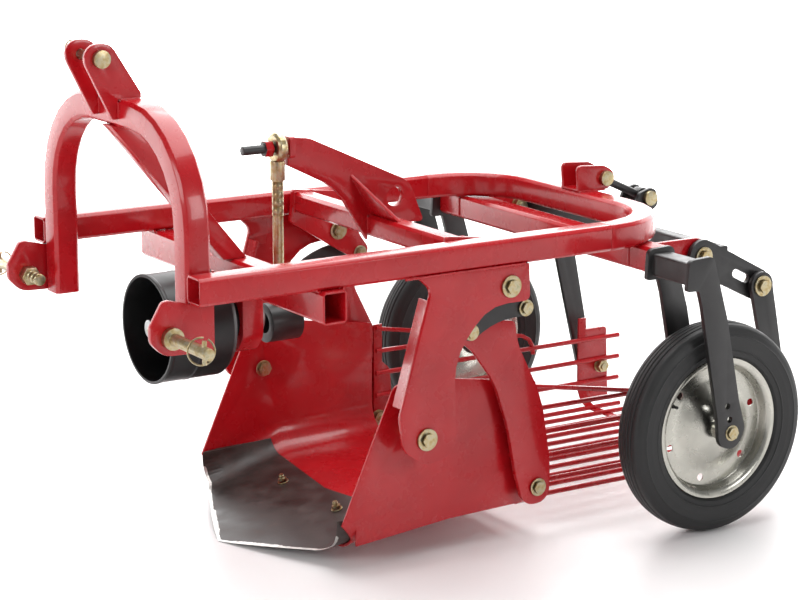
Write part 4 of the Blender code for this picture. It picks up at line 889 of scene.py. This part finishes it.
# %% Threaded studs
def thread_recipe():
    tree, given, output = new_recipe("thread", [("Radius", "NodeSocketFloat"), ("Length", "NodeSocketFloat"),
                                                ("Pitch", "NodeSocketFloat"),
                                                ("Material", "NodeSocketMaterial")])
    get = given.outputs
    turn = add_node(tree, "GeometryNodeInputNamedAttribute", {"Name": "turn"}, data_type="FLOAT_VECTOR")
    rotation = add_node(tree, "FunctionNodeEulerToRotation", {0: turn.outputs["Attribute"]})
    placed = add_node(tree, "GeometryNodeInstanceOnPoints", {
        "Points": get["Geometry"], "Instance": thread(tree, get["Radius"], get["Pitch"], get["Length"]),
        "Rotation": rotation.outputs[0]})
    smooth_and_dress(tree, output, placed.outputs[0], get["Material"])
    return tree


THREADS = thread_recipe()


def threaded(name, body, like, points, radius, length, pitch):
    mesh = run_recipe(THREADS, seats(points),
                      **{"Radius": radius * MM, "Length": length * MM, "Pitch": pitch * MM,
                                                 "Material": ZINC})
    return finish(name, mesh, body, like, angle=25)


pin_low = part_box("lower_pin_left")[0]
pin_axis = at(0, -0.038, 0.5017)
threaded("lower_pin_threads", "frame", "lower_pin_left",
         both_sides((pin_low.x + 2 * MM, pin_axis.y, pin_axis.z), OUT), 10.9, 38, 1.1)
rod_axis = at(0, 0.351, 0.757)
threaded("rod_thread", "rod", "connecting_rod",
         [(Vector((0, rod_axis.y, rod_axis.z - 0.130)), Vector((0, 0, 1)))], 10.4, 66, 1.4)

# %% [markdown]
# ## The sieve's bars
# The bars are round rods of 10 mm, eleven in the floor and three up each side.

# %% Round bars
BAR_PITCH = 0.046
SIDE_BAR_HEIGHTS = (0.101, 0.150, 0.199)
BAR_RADIUS = 5.25 * MM
floor_line = 0.055
bar_front, bar_rear = at(0, 0.6545, 0).y, at(0, 1.3555, 0).y
paths = [[(k * BAR_PITCH, bar_front, floor_line), (k * BAR_PITCH, bar_rear, floor_line)] for k in range(-5,
                                                                                                        6)]
side_x = 0.276
for sign in (1, -1):
    for height in SIDE_BAR_HEIGHTS:
        paths.append([(sign * side_x, at(0, 0.7405, 0).y, height),
                      (sign * side_x, at(0, 1.3848, 0).y, height)])
finish("sieve_bars", rods(paths, BAR_RADIUS, RED), "sieve", "sieve_grate")

# %% [markdown]
# ## Weld seams
# The frame is welded, and a seam shows as a rippled bead under the paint. Each seam is a line; the recipe
# lays points along it every 1.6 mm, swells and thins the bead a little from point to point, and sweeps it.

# %% Weld recipe
def weld_recipe():
    tree, given, output = new_recipe("weld seams",
                                     [("Radius", "NodeSocketFloat"), ("Ripple", "NodeSocketFloat"),
                                                    ("Material", "NodeSocketMaterial")])
    get = given.outputs
    curve = add_node(tree, "GeometryNodeMeshToCurve", {0: get["Geometry"]})
    even = add_node(tree, "GeometryNodeResampleCurve", {"Curve": curve.outputs[0], "Length": 1.6 * MM},
                    mode="LENGTH")
    index = add_node(tree, "GeometryNodeInputIndex")
    wave = add_node(tree, "ShaderNodeMath", {0: times(tree, index.outputs[0], 2.1)}, operation="SINE")
    noise = add_node(tree, "ShaderNodeTexNoise", {"Scale": 120.0})
    swell = add_node(tree, "ShaderNodeMath", {0: times(tree, wave.outputs[0], get["Ripple"], 0.75),
                                              1: times(tree, noise.outputs[0], 0.5)}, operation="ADD")
    section = add_node(tree, "GeometryNodeCurvePrimitiveCircle", {"Resolution": 8, "Radius": get["Radius"]})
    swept = add_node(tree, "GeometryNodeCurveToMesh",
                     {"Curve": even.outputs[0], "Profile Curve": section.outputs[0],
                                                       "Scale": swell.outputs[0], "Fill Caps": True})
    smooth_and_dress(tree, output, swept.outputs[0], get["Material"])
    return tree


WELDS = weld_recipe()


def welded(name, body, like, paths, radius=2.4):
    mesh = run_recipe(WELDS, line_mesh(paths), **{"Radius": radius * MM, "Ripple": 0.14, "Material": RED})
    return finish(name, mesh, body, like, angle=60)


# %% Seams of the frame
bar_low, bar_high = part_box("front_crossbar")
beam_low, beam_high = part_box("rear_crossbeam")
paths = []
for sign in (1, -1):
    inner, outer = sign * rail_low.x, sign * rail_high.x
    for y in (bar_low.y, bar_high.y):
        paths.append([(inner, y, bar_high.z), (outer, y, bar_high.z)])
    strut_low, strut_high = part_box("strut_left")
    paths.append([(outer, strut_low.y + 0.010, rail_low.z), (outer, strut_high.y - 0.012, rail_low.z)])
    for z in (beam_low.z + 0.006, beam_high.z - 0.006):
        paths.append([(inner, beam_low.y, z), (inner, beam_high.y, z)])
    for y in (beam_low.y, beam_high.y):
        paths.append([(inner, y, beam_low.z + 0.006), (inner, y, beam_high.z - 0.006)])
    for y in (0.003, 0.0497):
        paths.append([(inner, rail_low.y + y, rail_low.z + 0.006),
                      (inner, rail_low.y + y, rail_high.z - 0.006)])
        paths.append([(sign * 0.300, rail_low.y + y, rail_high.z),
                      (sign * 0.300, rail_low.y + y, rail_high.z + 0.002)])
lug_low, lug_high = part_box("mast_lug_left")
arch_low, arch_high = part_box("hitch_arch")
for sign in (1, -1):
    for x in (lug_low.x, lug_high.x):
        paths.append([(sign * x, arch_low.y + 0.004, arch_high.z),
                      (sign * x, arch_high.y - 0.008, arch_high.z)])
        paths.append([(sign * x, arch_low.y, arch_high.z - 0.004),
                      (sign * x, arch_low.y, lug_low.z + 0.003)])
rear_low, rear_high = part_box("rear_lugs")
for sign in (1, -1):
    paths.append([(sign * rear_high.x, rear_low.y + 0.004, rear_low.z),
                  (sign * rear_high.x, rear_high.y - 0.024, rear_low.z)])
welded("frame_welds", "frame", "left_rail", paths)

tube_low, tube_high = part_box("rocker_tube")
paths = []
for sign in (1, -1):
    paths.append([(sign * 0.006, tube_low.y + 0.004, tube_high.z),
                  (sign * 0.006, tube_high.y - 0.004, tube_high.z)])
    paths.append([(sign * 0.006, tube_low.y, tube_high.z - 0.004),
                  (sign * 0.006, tube_low.y, tube_low.z + 0.008)])
    paths.append([(sign * tube_high.x, y, z) for y, z in (
        (tube_low.y, tube_low.z), (tube_low.y, tube_high.z), (tube_high.y, tube_high.z),
        (tube_high.y, tube_low.z))])
welded("rocker_welds", "rocker", "rocker_tube", paths, 2.2)

spots = []
for k in range(-5, 6):
    for y in (at(0, 0.7365, 0).y, at(0, 0.7575, 0).y):
        spots.append([(k * BAR_PITCH - 0.006, y, floor_line - 0.001),
                      (k * BAR_PITCH + 0.006, y, floor_line - 0.001)])
for sign in (1, -1):
    for height in SIDE_BAR_HEIGHTS:
        spots.append([(sign * (side_x + 0.002), at(0, 0.7575, 0).y, height - 0.006),
                      (sign * (side_x + 0.002), at(0, 0.7575, 0).y, height + 0.006)])
welded("sieve_welds", "sieve", "sieve_grate", spots, 2.0)

# %% [markdown]
# ## Lynch pins
# The lower hitch pins and the top pin are kept in by lynch pins: a short round peg through the hole with
# a sprung ring that snaps over the end. The ring is a hoop of wire, so it is swept along its own circle
# with the same rod recipe.

# %% Lynch pins with rings
def hoop(centre, radius, normal, start, sweep, steps=28):
    """Arc of points round a centre, square to the normal."""
    normal = Vector(normal).normalized()
    first = (Vector(start) - normal * Vector(start).dot(normal)).normalized()
    second = normal.cross(first)
    turns = [math.radians(sweep) * k / steps for k in range(steps + 1)]
    return [centre + (first * math.cos(a) + second * math.sin(a)) * radius for a in turns]


peg_paths, wire_paths = [], []
hole_x, peg_reach = 0.432, 0.021
for sign in (1, -1):
    hole = Vector((sign * hole_x, pin_axis.y, pin_axis.z))
    top = hole + Vector((0, 0, peg_reach))
    peg_paths.append([hole - Vector((0, 0, peg_reach)), top])
    ring_centre = hole + Vector((-sign * 0.012, 0, 0))
    wire_paths.append(hoop(ring_centre, 0.0235, (sign, -0.35, 0.2), top - ring_centre, 340))
top_pin_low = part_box("mast_pin")[0]
top_axis = at(0, -0.033, 0.957)
hole = Vector((top_pin_low.x + 0.008, top_axis.y, top_axis.z))
peg_paths.append([hole - Vector((0, 0, 0.019)), hole + Vector((0, 0, 0.019))])
ring_centre = hole + Vector((-0.014, 0, 0.001))
wire_paths.append(hoop(ring_centre, 0.0205, (-0.25, 1, 0), (1, 0, 0.7), 330))
finish("lynch_pin_pegs", rods(peg_paths, 4.2 * MM, ZINC), "frame", "lower_pin_left")
finish("lynch_pin_rings", rods(wire_paths, 1.6 * MM, ZINC), "frame", "lower_pin_left", angle=80)

# %% [markdown]
# ## Camera, floor and light
# The machine stands on a pale seamless floor. One large soft box hangs overhead and two smaller ones
# stand to the left and right of the camera. Beyond the machine the floor gives off light of its own, which
# draws the highlights on the tubes' upper faces.

# %% Camera
camera = bpy.data.objects.new("camera", bpy.data.cameras.new("camera"))
bpy.context.scene.collection.objects.link(camera)
bpy.context.scene.camera = camera
yaw, pitch = math.radians(57.6496), math.radians(13.0302)
forward = Vector((-math.sin(yaw) * math.cos(pitch), math.cos(yaw) * math.cos(pitch), -math.sin(pitch)))
camera.location = (3.980847, -2.549273, 1.517484)
camera.rotation_euler = forward.to_track_quat("-Z", "Y").to_euler()
camera.data.lens = 109.77
camera.data.sensor_width = 36.0

# %% Floor and backdrop
def studio_floor():
    """Pale seamless floor with a faint sheen; beyond the machine its own light washes out every edge."""
    material, tree, shader = new_material("pale studio floor", Roughness=0.38, IOR=1.45)
    tint = blend_colours(tree, mottle(tree, 0.6, 3.0).outputs["Fac"], [(0.3, "#F1EFEF"), (0.7, "#F6F4F4")])
    tree.links.new(tint, shader.inputs["Base Color"])
    place = add_node(tree, "ShaderNodeTexCoord")
    reach = add_node(tree, "ShaderNodeVectorMath", {0: place.outputs["Object"]}, operation="LENGTH")
    wash = add_node(tree, "ShaderNodeMapRange",
                    {"Value": reach.outputs["Value"], "From Min": 0.9, "From Max": 6.5,
                                                 "To Max": 2.6}, interpolation_type="SMOOTHSTEP")
    ahead = add_node(tree, "ShaderNodeVectorMath", {0: place.outputs["Object"],
                                                    1: (-math.sin(yaw), math.cos(yaw), 0.0)},
                                                    operation="DOT_PRODUCT")
    far_side = add_node(tree, "ShaderNodeMapRange", {"Value": ahead.outputs["Value"], "From Min": -2.2,
                                                     "From Max": -0.2, "To Min": 0.10, "To Max": 1.0})
    glow = add_node(tree, "ShaderNodeMath", {0: wash.outputs[0], 1: far_side.outputs[0]},
                    operation="MULTIPLY")
    tree.links.new(glow.outputs[0], shader.inputs["Emission Strength"])
    shader.inputs["Emission Color"].default_value = linear("#FFFFFF")
    work = bmesh.new()
    width, near, far, bend = 14.0, -9.0, 9.0, 3.0
    section = [(near, 0.0), (far - bend, 0.0)]
    section += [(far - bend + bend * math.sin(a), bend - bend * math.cos(a))
                for a in (math.radians(90 * k / 12) for k in range(1, 13))]
    section.append((far, 9.0))
    rows = [[work.verts.new((x, y, z)) for x in (-width, width)] for y, z in section]
    for first, second in zip(rows, rows[1:]):
        work.faces.new((first[0], first[1], second[1], second[0]))
    bmesh.ops.transform(work, matrix=Matrix.Rotation(yaw, 4, "Z"), verts=work.verts)
    mesh = to_mesh(work, material)
    mesh.shade_smooth()
    floor = bpy.data.objects.new("studio_floor", mesh)
    floor.location.z = -0.0006
    bpy.context.scene.collection.objects.link(floor)


studio_floor()


# %% Soft boxes
def soft_box(name, location, target, width, height, power, tone="#FFFFFF"):
    lamp = bpy.data.lights.new(name, "AREA")
    lamp.shape, lamp.size, lamp.size_y = "RECTANGLE", width, height
    lamp.energy = power
    lamp.color = linear(tone)[:3]
    light = bpy.data.objects.new(name, lamp)
    light.location = location
    light.rotation_euler = (Vector(target) - Vector(location)).to_track_quat("-Z", "Y").to_euler()
    bpy.context.scene.collection.objects.link(light)


soft_box("overhead", (-0.3, 0.5, 3.0), (0, 0, 0.3), 2.6, 2.6, 95)
soft_box("camera_left", (1.2, -4.0, 2.2), (0, 0, 0.4), 2.0, 1.5, 60)
soft_box("camera_right", (4.4, 1.6, 1.9), (0, 0.2, 0.4), 1.2, 1.6, 45)
world = bpy.data.worlds.new("studio")
world.use_nodes = True
world.node_tree.nodes["Background"].inputs["Color"].default_value = linear("#FFFFFF")
world.node_tree.nodes["Background"].inputs["Strength"].default_value = 0.32
bpy.context.scene.world = world
bpy.context.scene.view_settings.view_transform = "Standard"
